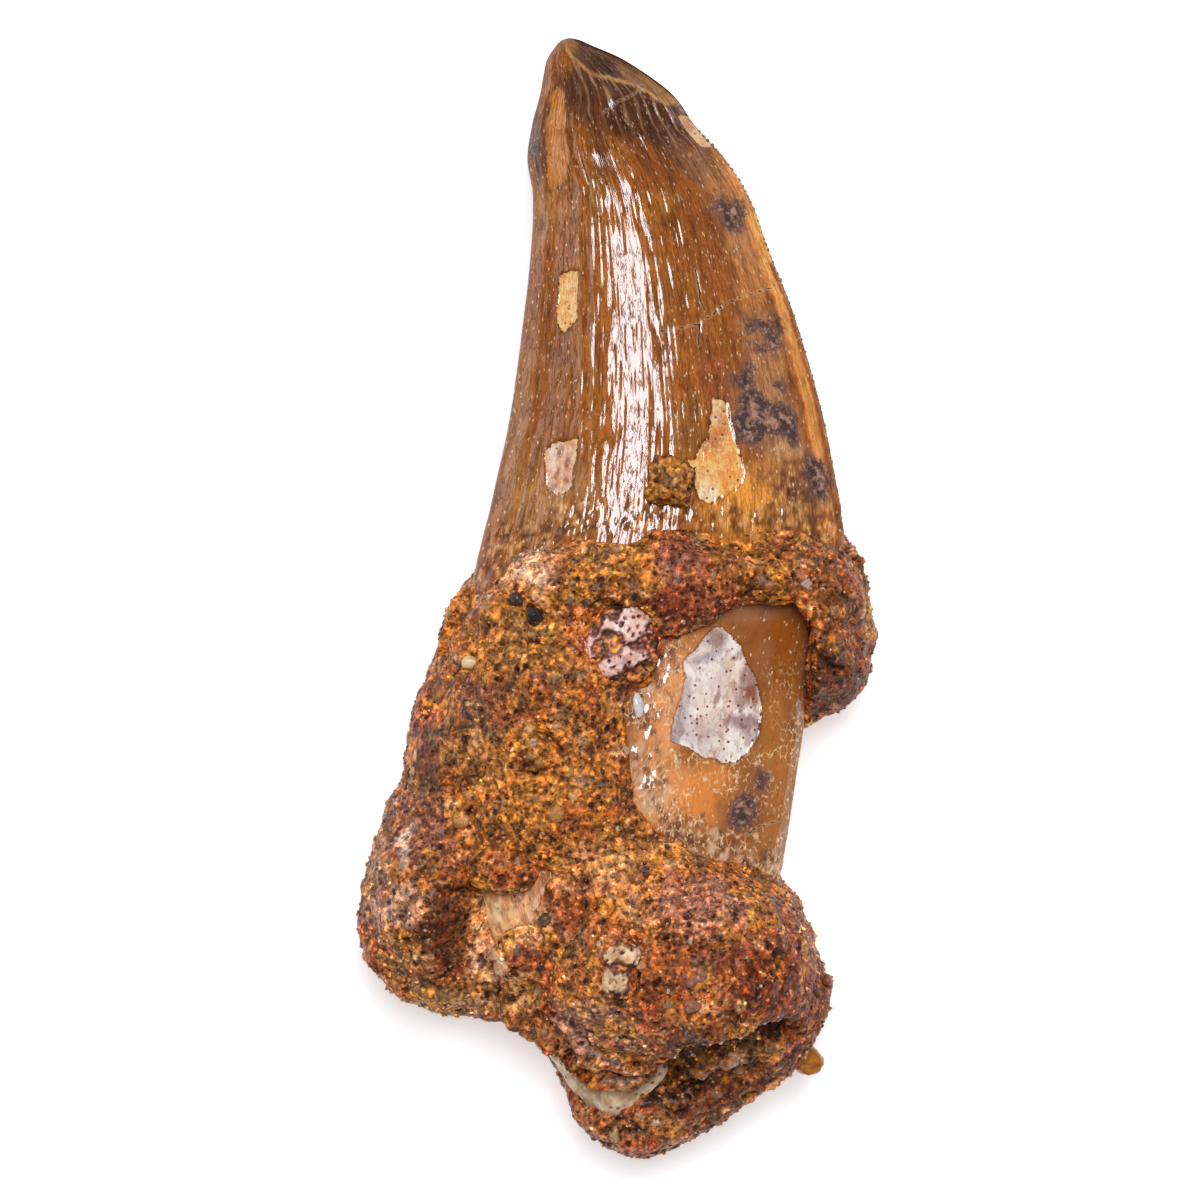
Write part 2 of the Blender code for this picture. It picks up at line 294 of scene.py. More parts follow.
def move_points(obj, points):
    """Puts the object's vertices at points, in millimetres."""
    flat = (np.asarray(points) * MM).astype(np.float32).ravel()
    obj.data.vertices.foreach_set("co", flat)
    obj.data.update()


def edit_whole(obj, operation, **settings):
    """Runs one edit-mode operation on the whole mesh."""
    alone(obj)
    bpy.ops.object.mode_set(mode="EDIT")
    bpy.ops.mesh.select_all(action="SELECT")
    operation(**settings)
    bpy.ops.object.mode_set(mode="OBJECT")


def merge_doubles(obj):
    """Joins vertices that lie in one place."""
    edit_whole(obj, bpy.ops.mesh.remove_doubles, threshold=MERGE_REACH)


def added(operation, **settings):
    """The object that an add operation makes."""
    bpy.ops.object.select_all(action="DESELECT")
    operation(**settings)
    return bpy.context.object


def linked(name, data):
    """A new object in the scene."""
    obj = bpy.data.objects.new(name, data)
    bpy.context.scene.collection.objects.link(obj)
    return obj


def plain_solid(name, node):
    """A copy of one of the CAD solids, joined into one skin."""
    obj = linked(name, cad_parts[node].data.copy())
    merge_doubles(obj)
    return obj


def combine(obj, other, way):
    """Adds a boolean step with another solid."""
    step = obj.modifiers.new("combined", "BOOLEAN")
    step.operation = way
    step.object = other


def refine(obj, voxel, rounds):
    """Gives the object a fine skin, worn smooth in rounds, after its other steps."""
    skin = obj.modifiers.new("fine_skin", "REMESH")
    skin.mode = "VOXEL"
    skin.voxel_size = voxel * MM
    worn = obj.modifiers.new("worn", "SMOOTH")
    worn.iterations = rounds
    apply_all(obj)


def noted_values(obj, name):
    """Takes back the numbers that were kept for each vertex."""
    layer = obj.data.attributes[name]
    values = np.empty(len(obj.data.vertices), np.float32)
    layer.data.foreach_get("value", values)
    obj.data.attributes.remove(layer)
    return values.astype(float)


def note_values(obj, name, values, kind="FLOAT", field="value"):
    """Keeps something for each vertex, for the finish to read."""
    layer = obj.data.attributes.new(name, kind, "POINT")
    layer.data.foreach_set(field, np.asarray(values, np.float32).ravel())


def note_colours(obj, name, colours):
    """Keeps one colour for each vertex, for the finish to read."""
    full = np.ones((len(colours), 4), np.float32)
    full[:, :3] = np.clip(colours, 0, 1)
    note_values(obj, name, full, "FLOAT_COLOR", "color")


def finish_piece(obj, finish, slot, *nodes):
    """Smooths, paints and hands over one finished piece."""
    obj.data.shade_smooth()
    obj.data.materials.clear()
    obj.data.materials.append(finish)
    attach(obj, "root")
    if nodes:
        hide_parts(*nodes)


def apply_all(obj):
    """Applies the object's modifiers in turn."""
    alone(obj)
    for modifier in list(obj.modifiers):
        bpy.ops.object.modifier_apply(modifier=modifier.name)


# Finishes


class Finish:
    """A material whose pattern is built up step by step."""

    def __init__(self, name, roughness, shine=0.5, coat=0.0, coat_roughness=0.1):
        self.material = bpy.data.materials.new(name)
        self.material.use_nodes = True
        self.nodes = self.material.node_tree.nodes
        self.links = self.material.node_tree.links
        self.shader = self.nodes["Principled BSDF"]
        self.shine({"Roughness": roughness, "Specular IOR Level": shine})
        self.shine({"Coat Weight": coat, "Coat Roughness": coat_roughness})
        self.colour = None

    def fill(self, node, values):
        """Links a step's result, or sets a plain value, on each socket that is named."""
        for name, value in values.items():
            socket = node.inputs[name]
            if isinstance(value, bpy.types.NodeSocket):
                self.links.new(value, socket)
            elif isinstance(value, tuple) and socket.type == "RGBA":
                socket.default_value = (*value, 1.0)
            else:
                socket.default_value = value

    def shine(self, values):
        """Fills sockets of the shader."""
        self.fill(self.shader, values)

    def step(self, kind, values, **settings):
        """The results of a new step."""
        node = self.nodes.new("ShaderNode" + kind)
        for name, value in settings.items():
            setattr(node, name, value)
        self.fill(node, values)
        return node.outputs

    def start(self):
        """Starts the pattern from the colours kept on the mesh, and gives the place."""
        self.colour = self.noted("tint", "Color")
        return self.here()

    def noted(self, name, kind="Fac"):
        """A value, place or colour kept on the mesh."""
        return self.step("Attribute", {}, attribute_name=name)[kind]

    def here(self):
        """The place on the object, in millimetres."""
        return self.stretched(self.step("TexCoord", {})["Object"], (1 / MM, 1 / MM, 1 / MM))

    def stretched(self, place, scale):
        """A place with each of its axes scaled."""
        return self.step("VectorMath", {0: place, 1: scale}, operation="MULTIPLY")["Vector"]

    def cloud(self, place, scale, detail=2.0, roughness=0.5):
        """Soft noise from 0 to 1."""
        values = {"Vector": place, "Scale": scale, "Detail": detail, "Roughness": roughness}
        return self.step("TexNoise", values)["Fac"]

    def streams(self, place, scale, detail, roughness):
        """Soft noise with each axis scaled its own way."""
        return self.cloud(self.stretched(place, scale), 1.0, detail, roughness)

    def cells(self, place, scale, result="Distance", feature="F1"):
        """Scattered cells."""
        return self.step("TexVoronoi", {"Vector": place, "Scale": scale}, feature=feature)[result]

    def fit(self, value, low, high, to_low=0.0, to_high=1.0):
        """A value moved from one range to another."""
        limits = {"From Min": low, "From Max": high, "To Min": to_low, "To Max": to_high}
        return self.step("MapRange", {"Value": value, **limits})["Result"]

    def sum(self, first, second, operation="ADD"):
        """Two values worked together."""
        return self.step("Math", {0: first, 1: second}, operation=operation)["Value"]

    def times(self, first, second):
        """The product of two values."""
        return self.sum(first, second, "MULTIPLY")

    def mix(self, first, second, share, way="MIX"):
        """Two colours mixed."""
        values = {0: share, 6: first, 7: second}
        return self.step("Mix", values, data_type="RGBA", blend_type=way)[2]

    def cover(self, colour, value, *span, way="MIX"):
        """Lays a colour over the pattern so far, as much as the value fits the span."""
        share = self.fit(value, *span) if span else value
        self.colour = self.mix(self.colour, colour, share, way)

    def tone(self, colour, value, *span):
        """Multiplies the pattern so far by a colour, as much as the value fits the span."""
        self.cover(colour, value, *span, way="MULTIPLY")

    def raised(self, height, distance, strength=1.0, under=None):
        """Fine relief, in millimetres."""
        values = {"Height": height, "Distance": distance * MM, "Strength": strength}
        if under is not None:
            values["Normal"] = under
        return self.step("Bump", values)["Normal"]

    def done(self, **values):
        """Links the pattern to the shader and returns the material."""
        self.shine({"Base Color": self.colour, **values})
        return self.material


# Tooth shape


def tooth_curve():
    """Smoothed station values at many places down the tooth, tip first."""
    last = len(TOOTH_STATIONS) - 1
    places = np.linspace(0, last, 4001)
    first = np.minimum(places.astype(int), last - 1)
    share = (places - first)[:, None]
    before, start, end, after = (
        TOOTH_STATIONS[np.clip(first + step, 0, last)] for step in (-1, 0, 1, 2)
    )
    slope = end - before
    bend = 2 * before - 5 * start + 4 * end - after
    twist = 3 * start - before - 3 * end + after
    return 0.5 * (2 * start + slope * share + bend * share**2 + twist * share**3)


TOOTH_CURVE = tooth_curve()


def tooth_station(y):
    """Back edge x, front edge x, thickness and mid height at each y."""
    return [np.interp(-y, -TOOTH_CURVE[:, 0], TOOTH_CURVE[:, column]) for column in (1, 2, 3, 4)]


def tooth_points(y, across, side):
    """Points of the plain tooth: along it, across it from the back edge, and on which face."""
    back, front, thickness, middle = tooth_station(y)
    share = np.clip((y - ROOT_STARTS_AT) / (CROWN_ENDS_AT - ROOT_STARTS_AT), 0, 1)
    power = ROOT_FULLNESS + (CROWN_FULLNESS - ROOT_FULLNESS) * share
    skewed = across ** (math.log(0.5) / math.log(RIDGE_AT))
    height = np.maximum(np.sin(math.pi * skewed), 0) ** power
    x = back + (front - back) * across
    return np.stack([x, y, middle + side * thickness / 2 * height], axis=1)


def tooth_top(x, y):
    """Height of the plain tooth's upper face."""
    back, front, _, _ = tooth_station(np.array([y]))
    across = np.clip((x - back) / (front - back), 0, 1)
    return float(tooth_points(np.array([y]), across, np.array([1.0]))[0, 2])


def tooth_blank(name, y_of_ring, cap):
    """A grid wrapped round one stretch of the tooth, with each vertex's place on it."""
    columns = UPPER_COLUMNS + LOWER_COLUMNS
    grid_add = bpy.ops.mesh.primitive_grid_add
    obj = added(grid_add, x_subdivisions=columns, y_subdivisions=TOOTH_RINGS, size=2 * MM)
    obj.name = name
    grid = points_of(obj)
    column = np.rint((grid[:, 0] + 1) / 2 * columns) % columns
    ring = np.rint((1 - grid[:, 1]) / 2 * TOOTH_RINGS)
    upper = column <= UPPER_COLUMNS
    share = np.where(upper, column / UPPER_COLUMNS, (columns - column) / LOWER_COLUMNS)
    across = 0.35 * (1 - np.cos(math.pi * share)) / 2 + 0.65 * share
    y = np.interp(ring, np.arange(TOOTH_RINGS + 1), y_of_ring)
    side = np.where(upper, 1.0, -1.0)
    points = tooth_points(y, across, side)
    middle = points[(ring == abs(cap - 1)) & (across > 0)].mean(axis=0)
    points[ring == cap] = (middle[0], y_of_ring[cap], middle[2])
    move_points(obj, points)
    for mark, values in (("y", y), ("across", across), ("side", side), ("ring", ring)):
        note_values(obj, mark, values)
    merge_doubles(obj)
    edit_whole(obj, bpy.ops.mesh.normals_make_consistent, inside=False)
    return obj, {mark: noted_values(obj, mark) for mark in ("y", "across", "side", "ring")}


# Marks on the crown, in the photograph's pixels
UNSEEN_DEPTH = 50.0  # keeps the marks of the upper face off the lower one
PALE_CHIP = (
    (558, 278), (563, 273), (567, 273), (573, 271), (578, 271), (578, 286), (577, 309),
    (578, 319), (572, 324), (564, 332), (560, 327), (557, 321), (557, 309), (559, 297),
)
TALL_FLAKE = (
    (712, 397), (724, 400), (729, 408), (730, 421), (734, 432), (737, 449), (743, 466),
    (745, 475), (738, 487), (724, 496), (711, 502), (700, 499), (696, 488), (688, 470),
    (683, 465), (686, 460), (696, 461), (700, 446), (705, 440), (710, 438), (710, 426),
    (712, 412),
)
EDGE_CHIP = (
    (679, 115), (686, 115), (696, 124), (705, 131), (713, 140), (720, 149), (710, 147),
    (702, 146), (696, 142), (689, 133), (682, 124),
)
PITTED_PATCH = (
    (545, 452), (553, 443), (562, 441), (570, 441), (577, 438), (577, 455), (573, 470),
    (571, 486), (565, 492), (557, 496), (548, 488), (545, 470),
)
CROWN_CHIPS = (PALE_CHIP, TALL_FLAKE, EDGE_CHIP, PITTED_PATCH)
HEART_STAIN = (
    (716, 201), (723, 200), (729, 208), (735, 201), (741, 201), (742, 209), (744, 216),
    (741, 226), (738, 231), (731, 229), (726, 225), (722, 214), (716, 211),
)
ARCH_STAIN = (
    (747, 322), (759, 320), (770, 322), (778, 334), (781, 345), (775, 350), (769, 345),
    (766, 334), (758, 327), (751, 329), (748, 332),
)
LONG_STAIN = (
    (733, 377), (740, 379), (744, 370), (748, 364), (752, 367), (751, 379), (755, 390),
    (763, 398), (775, 404), (786, 407), (794, 416), (797, 426), (796, 446), (789, 440),
    (780, 435), (766, 435), (756, 446), (744, 443), (737, 439), (735, 426), (731, 422),
    (738, 411), (733, 401), (738, 398), (744, 391), (738, 384), (733, 384),
)
SMALL_STAINS = (
    ((752, 344), (764, 343), (766, 351), (755, 352)),
    ((772, 312), (778, 318), (782, 330), (778, 334), (773, 322)),
    ((777, 383), (785, 384), (784, 392), (776, 389)),
    ((676, 104), (684, 106), (685, 113), (678, 111)),
    ((808, 456), (822, 462), (830, 482), (826, 500), (812, 494), (805, 474)),
    ((528, 142), (534, 138), (537, 150), (533, 158), (529, 154)),
)
CROWN_STAINS = (HEART_STAIN, ARCH_STAIN, LONG_STAIN, *SMALL_STAINS)
CROWN_CRACKS = (
    ((660, 331), (676, 329), (689, 327), (699, 325), (708, 317), (720, 308), (735, 299),
     (742, 297), (760, 291), (772, 287), (783, 280)),
    ((696, 270), (699, 290), (701, 300), (705, 311)),
    ((699, 325), (700, 334), (698, 345)),
    ((604, 113), (611, 107), (619, 101), (630, 96), (640, 88), (645, 85)),
    ((608, 372), (620, 370), (634, 371), (644, 370), (655, 362)),
)
# Raised ridges that catch the light; the finish also paints them tan, as a painted highlight.
RAISED_LINES = (
    ((577, 190), (579, 260), (580, 330), (580, 420), (583, 520)),
    ((592, 180), (592, 300), (590, 420), (592, 515)),
    ((662, 300), (670, 400), (676, 455)),
)
CRUST_LINES = (
    ((486, 570), (505, 540), (560, 526), (600, 515), (640, 508), (690, 514), (730, 525), (800, 520)),
    ((474, 893), (470, 925), (486, 950), (520, 948), (536, 925), (538, 893)),
    ((548, 1034), (566, 1062), (592, 1100), (630, 1124)),
    ((660, 652), (650, 690), (648, 760), (656, 805), (690, 840), (740, 858), (790, 872)),
)
WORN_TIP = (
    (562, 30), (566, 47), (570, 56), (579, 63), (590, 73), (604, 77), (620, 80), (634, 85),
    (643, 89), (655, 97), (665, 103), (676, 104), (690, 116), (720, 90), (640, 20),
)
SMOOTH_FACET = (
    (552, 93), (563, 84), (566, 110), (568, 140), (572, 160), (566, 172), (556, 190),
    (546, 190), (547, 150), (549, 118),
)


def wrinkles(across, y, side, width):
    """Fine wrinkles that fan out from the tip, with more of them starting as it widens."""
    height = np.zeros(len(y))
    for level in range(4):
        count = 13 * 2**level
        spacing = width / count
        strength = step_up(0.2, 0.32, spacing) * (1 - step_up(1.1, 2.2, spacing))
        place = np.stack([2 * across * count, y / (1.6 + 0.8 * level), 50 * side], axis=1)
        wave = lumps(place, 1.0, 5 + level)
        height += strength * spacing**0.6 * wave
    return height


def fan_lines(across, y, width):
    """Narrow raised lines that fan out below the tip, painted tan by the finish as a painted highlight.
    """
    sway = rough(np.stack([7 * across, y / 3, 0 * y], axis=1), 1.0, 3, 12)
    phase = 13 * across + 0.42 * sway
    away = np.abs(phase - np.floor(phase) - 0.5) * width / 13
    fades = 0.55 + 0.6 * lumps(np.stack([14 * across, y / 1.5, 0 * y], axis=1), 1.0, 14)
    reach = step_up(39, 44.5, y + 1.5 * sway) * step_up(0.22, 0.4, across)
    return np.clip((1 - step_up(0.03, 0.2, away)) * reach * fades, 0, 1)


def crown_relief(marks, points, places):
    """How far the enamel stands off the plain tooth, in millimetres."""
    back, front, _, _ = tooth_station(marks["y"])
    marks["width"] = front - back
    ridge = wrinkles(marks["across"], marks["y"], marks["side"], marks["width"])
    edge = 4 * marks["across"] * (1 - marks["across"])
    calm = 1 - 0.85 * step_up(-2, 2, depth_inside(places, SMOOTH_FACET)) * (marks["side"] > 0)
    marks["ridge"] = ridge * calm
    below_crest = (depth_inside(places, WORN_TIP) < -1) * (marks["side"] > 0)
    marks["line"] = fan_lines(marks["across"], marks["y"], marks["width"]) * below_crest
    beaded = 0.7 + 0.5 * lumps(points, 0.8, 13)
    for corners in RAISED_LINES:
        away = edge_distances(places, corners, False) * (marks["side"] > 0) + 9 * (marks["side"] < 0)
        marks["line"] = np.maximum(marks["line"], 0.45 * beaded * (1 - step_up(0.8, 2.6, away)))
    tip = step_up(34, 48, marks["y"])
    height = (0.035 + 0.03 * tip) * marks["ridge"] * step_up(0, 0.25, edge) + 0.07 * marks["line"]
    height += 0.05 * lumps(points, 5.0, 3) + 0.02 * lumps(points, 1.6, 4)
    height += 0.1 * rough(points, 0.6, 3, 36) * crust_share(points, places) * (marks["side"] > 0)
    return height


def surface_marks(side, shaken, ragged, chips, patches, cracks):
    """Chips, stains and cracks of the upper face, as depths and distances in pixels."""
    unseen = np.where(side > 0, 0.0, UNSEEN_DEPTH)
    crack = np.min([edge_distances(shaken, line, False) for line in cracks], axis=0)
    return {
        "chip": deepest(shaken, chips) - unseen,
        "stain": deepest(ragged, patches) - unseen,
        "crack": crack + unseen,
    }


def note_marks(obj, marks):
    """Keeps what the tooth's finish reads, and each vertex's place along and across the tooth."""
    for name in ("ridge", "line", "chip", "stain", "crack"):
        note_values(obj, name, marks[name])
    flow = np.stack([30 * marks["across"], marks["y"], 40 * marks["side"]], axis=1)
    note_values(obj, "flow", flow, "FLOAT_VECTOR", "vector")


CROWN_TINTS = (
    (545, 420, 40, 190, 4, 0.29, 0.1, 0.02, 0.75), (516, 450, 12, 120, 7, 0.4, 0.19, 0.075, 0.6),
    (566, 330, 9, 60, 0, 0.25, 0.085, 0.02, 0.6), (620, 330, 26, 230, -4, 0.42, 0.15, 0.035, 0.5),
    (690, 180, 60, 90, -25, 0.27, 0.082, 0.014, 0.85), (655, 205, 26, 16, -20, 0.4, 0.15, 0.015, 0.8),
    (600, 185, 16, 30, 0, 0.3, 0.13, 0.02, 0.6), (640, 105, 66, 42, 25, *CHOCOLATE, 0.95),
    (590, 92, 34, 34, 0, 0.1, 0.035, 0.02, 0.9), (600, 130, 12, 50, 0, 0.15, 0.05, 0.016, 0.7),
    (556, 130, 9, 46, 2, 0.5, 0.18, 0.03, 0.9), (564, 120, 4, 40, 0, 0.16, 0.05, 0.012, 0.8),
    (537, 150, 8, 44, 0, 0.14, 0.06, 0.035, 0.9), (546, 210, 16, 40, 6, 0.4, 0.19, 0.08, 0.7),
    (565, 255, 22, 20, 0, 0.36, 0.12, 0.045, 0.8), (690, 165, 12, 40, -38, 0.2, 0.09, 0.06, 0.8),
    (703, 165, 14, 26, -35, 0.27, 0.13, 0.08, 0.8), (722, 190, 22, 30, -30, 0.46, 0.21, 0.1, 0.7),
    (745, 255, 15, 42, -20, *PINKISH, 0.75), (753, 285, 22, 24, -20, 0.55, 0.24, 0.11, 0.8),
    (752, 318, 22, 20, -10, 0.48, 0.21, 0.1, 0.8), (768, 365, 22, 50, -12, 0.46, 0.23, 0.15, 0.85),
    (772, 425, 30, 34, -20, 0.4, 0.2, 0.15, 0.8), (785, 455, 24, 14, -10, 0.62, 0.4, 0.28, 0.6),
    (700, 350, 40, 60, 0, 0.36, 0.125, 0.025, 0.6), (715, 380, 20, 34, 0, *RED_BROWN, 0.65),
    (690, 430, 18, 40, 0, 0.33, 0.145, 0.03, 0.7), (668, 300, 30, 34, 0, 0.28, 0.1, 0.016, 0.5),
    (742, 505, 46, 36, 0, 0.82, 0.36, 0.08, 0.95), (765, 470, 20, 16, -10, 0.66, 0.3, 0.12, 0.8),
    (790, 480, 24, 22, -10, 0.36, 0.15, 0.08, 0.8), (815, 480, 14, 34, -8, 0.15, 0.06, 0.04, 0.85),
    (793, 510, 26, 16, 0, 0.5, 0.3, 0.16, 0.6), (560, 500, 60, 46, 0, 0.43, 0.21, 0.09, 0.7),
)
TIP_TINTS = (
    (590, 62, 60, 40, 25, 0.13, 0.045, 0.02, 0.95), (566, 44, 12, 8, 0, 0.5, 0.22, 0.07, 0.9),
    (604, 66, 22, 10, 28, 0.07, 0.025, 0.012, 0.95), (640, 78, 30, 9, 32, 0.33, 0.17, 0.09, 0.9),
    (668, 104, 14, 10, 40, 0.5, 0.26, 0.12, 0.8),
)
CHIP_TINTS = (
    (568, 300, 30, 50, 0, 0.96, 0.53, 0.17, 1.0), (572, 282, 6, 12, 0, 0.98, 0.62, 0.26, 0.7),
    (560, 468, 24, 34, 0, 0.85, 0.52, 0.34, 1.0), (551, 455, 5, 16, 0, 0.9, 0.7, 0.56, 0.8),
    (560, 452, 3, 7, 20, 0.3, 0.12, 0.09, 0.9), (567, 462, 3, 8, 10, 0.35, 0.14, 0.1, 0.9),
    (556, 474, 3, 7, 30, 0.4, 0.16, 0.12, 0.9), (566, 480, 3, 6, 0, 0.35, 0.15, 0.11, 0.8),
    (553, 487, 8, 4, 0, 0.42, 0.2, 0.18, 0.8), (700, 130, 30, 24, 0, *CREAM, 1.0),
    (690, 122, 9, 8, 0, 0.6, 0.25, 0.12, 0.8), (716, 455, 50, 70, 0, 1.05, 0.56, 0.17, 1.0),
    (716, 410, 9, 16, 0, 0.88, 0.6, 0.36, 0.8), (716, 440, 9, 14, 0, 0.62, 0.22, 0.08, 0.8),
    (723, 424, 6, 15, -10, 0.7, 0.28, 0.1, 0.9), (706, 446, 5, 7, 0, 0.6, 0.22, 0.08, 0.8),
    (731, 482, 12, 20, 0, 0.98, 0.42, 0.08, 0.85), (700, 478, 10, 8, 0, 0.98, 0.66, 0.3, 0.8),
    (708, 492, 12, 10, 0, 1.05, 0.84, 0.56, 0.9),
)


def crown_colours(points, places, marks):
    """The enamel's own colours with a painted glow along its thin front edge, before its fine streaks."""
    upper = marks["side"] > 0
    swayed = places + shake(points, 5, 2.2, 3, 41)
    plain = blend(AMBER, BROWN, np.clip(0.5 + 0.7 * rough(points * (1, 0.35, 1), 3.0, 3, 43), 0, 1))
    plain = blend(plain, CHOCOLATE, 0.8 * step_up(36, 47, marks["y"] + 2 * lumps(points, 2.5, 44)))
    shown = patched(blend(AMBER, (0.31, 0.1, 0.018), 0.5 + 0.5 * lumps(points, 3.0, 45)),
                    swayed, CROWN_TINTS)
    # Painted glow: light shining through the thin front edge, painted as a bright amber strip.
    edge_glow = step_up(0.93, 0.965, marks["across"] + 0.008 * rough(points, 1.0, 2, 46))
    edge_glow *= 1 - step_up(34, 42, marks["y"])
    shown = blend(shown, (1.15, 0.45, 0.18), 0.85 * edge_glow)
    facet = depth_inside(swayed, SMOOTH_FACET)
    shown = blend(shown, (0.55, 0.22, 0.06), 0.8 * step_up(0, 1.2, facet))
    shown = blend(shown, (0.12, 0.045, 0.02), 0.6 * (1 - step_up(0.8, 1.8, np.abs(facet + 1.5))))
    shown = blend(shown, *crusty_spots(points, places))
    worn = depth_inside(places, WORN_TIP)
    tip = patched(np.tile((0.3, 0.15, 0.07), (len(points), 1)), swayed, TIP_TINTS)
    shown = np.where((worn > 0)[:, None], tip, shown)
    crest = 1 - step_up(0.8, 2.6, np.abs(worn + 1.2 * lumps(points, 0.6, 47)))
    shown = blend(shown, (0.6, 0.36, 0.2), 0.8 * crest * (marks["y"] > 42))
    carina = step_up(0.972, 0.985, marks["across"])
    colours = np.where(upper[:, None], shown, plain)
    colours = blend(colours, (0.22, 0.08, 0.03), 0.8 * carina * (marks["y"] < 30))
    return colours * CROWN_GAIN


def crust_share(points, places):
    """How much thin, scattered crust covers the tooth close to the stone."""
    low = places[:, 1] + 14 * rough(points, 1.6, 3, 48)
    share = step_up(440, 485, low) * step_up(590, 560, low)
    share *= step_up(748, 785, places[:, 0] + 14 * rough(points, 1.6, 3, 49))
    for line in CRUST_LINES:
        away = edge_distances(places, line, False) + 18 * rough(points, 1.3, 4, 50)
        share = np.maximum(share, 1 - step_up(6, 26, away))
    return share


def crusty_spots(points, places):
    """Colours of the thin crust on the tooth, and how strongly they show."""
    spots = rough(points, 0.55, 4, 36)
    colours = blend((0.45, 0.2, 0.09), (0.13, 0.05, 0.025), step_up(-0.1, 0.35, spots))
    colours = blend(colours, (0.75, 0.48, 0.3), step_up(-0.3, -0.65, spots))
    return colours, 0.8 * crust_share(points, places) * step_up(0.06, 0.25, np.abs(spots))


def polish(points, normals):
    """How glossy the lacquer is: dull where it turns down to the edges."""
    return 0.06 + 0.94 * step_up(0.35, 0.8, normals[:, 2] + 0.1 * lumps(points, 1.5, 37))


def make_crown(finish):
    """The enamelled crown, from the tip down to the seam under the stone."""
    share = np.arange(TOOTH_RINGS) / (TOOTH_RINGS - 1)
    tip = TOOTH_STATIONS[0][0]
    y_of_ring = np.append(tip - (tip - SEAM_AT) * share**1.25, SEAM_AT)
    obj, marks = tooth_blank("crown", y_of_ring, TOOTH_RINGS)
    points = points_of(obj)
    places = in_photo(points)
    shaken = places + shake(points, 1.3, 0.7, 2, 31)
    ragged = places + shake(points, 2.6, 0.9, 3, 33)
    marks.update(surface_marks(marks["side"], shaken, ragged, CROWN_CHIPS, CROWN_STAINS, CROWN_CRACKS))
    height = crown_relief(marks, points, places)
    height -= 0.1 * step_up(-0.8, 0.8, marks["chip"])
    height -= 0.04 * (1 - step_up(0.2, 1.6, marks["crack"]))
    body = marks["ring"] < TOOTH_RINGS - 1
    shaped = points + normals_of(obj) * (height * body)[:, None]
    worn = depth_inside(places, WORN_TIP)
    shaped[:, 2] -= 0.035 * (np.clip(worn, 0, 14) * (marks["side"] > 0))
    move_points(obj, shaped)
    dull = 1 - 0.75 * step_up(-1, 1, worn)
    note_values(obj, "polish", polish(points, normals_of(obj)) * dull)
    note_marks(obj, marks)
    note_colours(obj, "tint", crown_colours(points, places, marks))
    chips = patched(np.tile(CREAM, (len(points), 1)), places, CHIP_TINTS)
    note_colours(obj, "chip_tint", chips)
    finish_piece(obj, finish, "tooth", "tooth")


# Marks on the root, in the photograph's pixels
MATT_FROM = (860, 880)  # the root is rough and matt below this height
DENTINE_PATCH = (
    (706, 637), (715, 628), (721, 627), (732, 637), (741, 648), (746, 661), (753, 672),
    (759, 686), (761, 701), (760, 721), (756, 740), (747, 752), (736, 762), (722, 762),
    (702, 755), (684, 746), (671, 740), (671, 727), (675, 715), (683, 697), (686, 678),
    (684, 669), (683, 663), (690, 655), (698, 648),
)
ROOT_STAINS = (
    ((735, 800), (748, 792), (756, 806), (750, 824), (738, 830), (728, 822)),
    ((760, 770), (768, 776), (764, 790), (756, 786)),
)
ROOT_CRACKS = (
    ((780, 820), (760, 826), (745, 835)),
)
ROOT_TINTS = (
    (668, 710, 30, 80, 20, 0.85, 0.4, 0.17, 0.95), (655, 665, 22, 26, 0, 0.6, 0.25, 0.12, 0.8),
    (700, 640, 30, 20, -30, 0.58, 0.24, 0.07, 0.8), (775, 650, 32, 52, 0, 0.33, 0.11, 0.02, 0.95),
    (755, 610, 50, 12, 0, 0.38, 0.18, 0.1, 0.8), (765, 660, 12, 22, 0, 0.36, 0.15, 0.06, 0.7),
    (806, 720, 7, 100, 2, 0.34, 0.16, 0.1, 0.9), (775, 740, 16, 60, 0, 0.5, 0.2, 0.04, 0.7),
    (660, 790, 34, 40, 0, 0.85, 0.42, 0.2, 0.9), (705, 795, 40, 36, 0, 0.85, 0.34, 0.09, 0.85),
    (652, 800, 12, 12, 0, 0.6, 0.48, 0.38, 0.7), (740, 810, 30, 36, 0, 0.3, 0.1, 0.03, 0.7),
    (775, 810, 16, 60, 0, 0.5, 0.2, 0.05, 0.7), (770, 860, 30, 24, 0, 0.42, 0.19, 0.07, 0.7),
    (590, 1080, 60, 80, 30, 1.1, 0.7, 0.36, 1.0), (570, 1075, 12, 40, -30, 0.52, 0.38, 0.24, 0.9),
    (505, 925, 60, 60, 0, 1.15, 0.66, 0.42, 1.0), (497, 912, 14, 12, 0, 1.15, 0.88, 0.62, 0.9),
)
PATCH_TINTS = (
    (715, 700, 60, 80, 0, 1.0, 0.86, 0.74, 1.0), (716, 640, 14, 12, 0, 0.36, 0.22, 0.2, 0.8),
    (705, 658, 18, 6, -20, 0.5, 0.42, 0.44, 0.8), (728, 680, 12, 24, 0, 0.8, 0.58, 0.42, 0.7),
    (750, 685, 11, 24, -10, 0.4, 0.15, 0.08, 1.0), (740, 700, 6, 10, 0, 0.4, 0.27, 0.25, 0.7),
    (743, 722, 18, 7, 10, 0.34, 0.13, 0.09, 1.0), (752, 740, 8, 12, 0, 0.42, 0.28, 0.26, 0.7),
    (677, 730, 9, 22, 18, 0.4, 0.3, 0.31, 0.8), (686, 700, 5, 24, 10, 0.5, 0.42, 0.42, 0.7),
    (700, 735, 22, 12, 0, 0.66, 0.55, 0.52, 0.6),
)


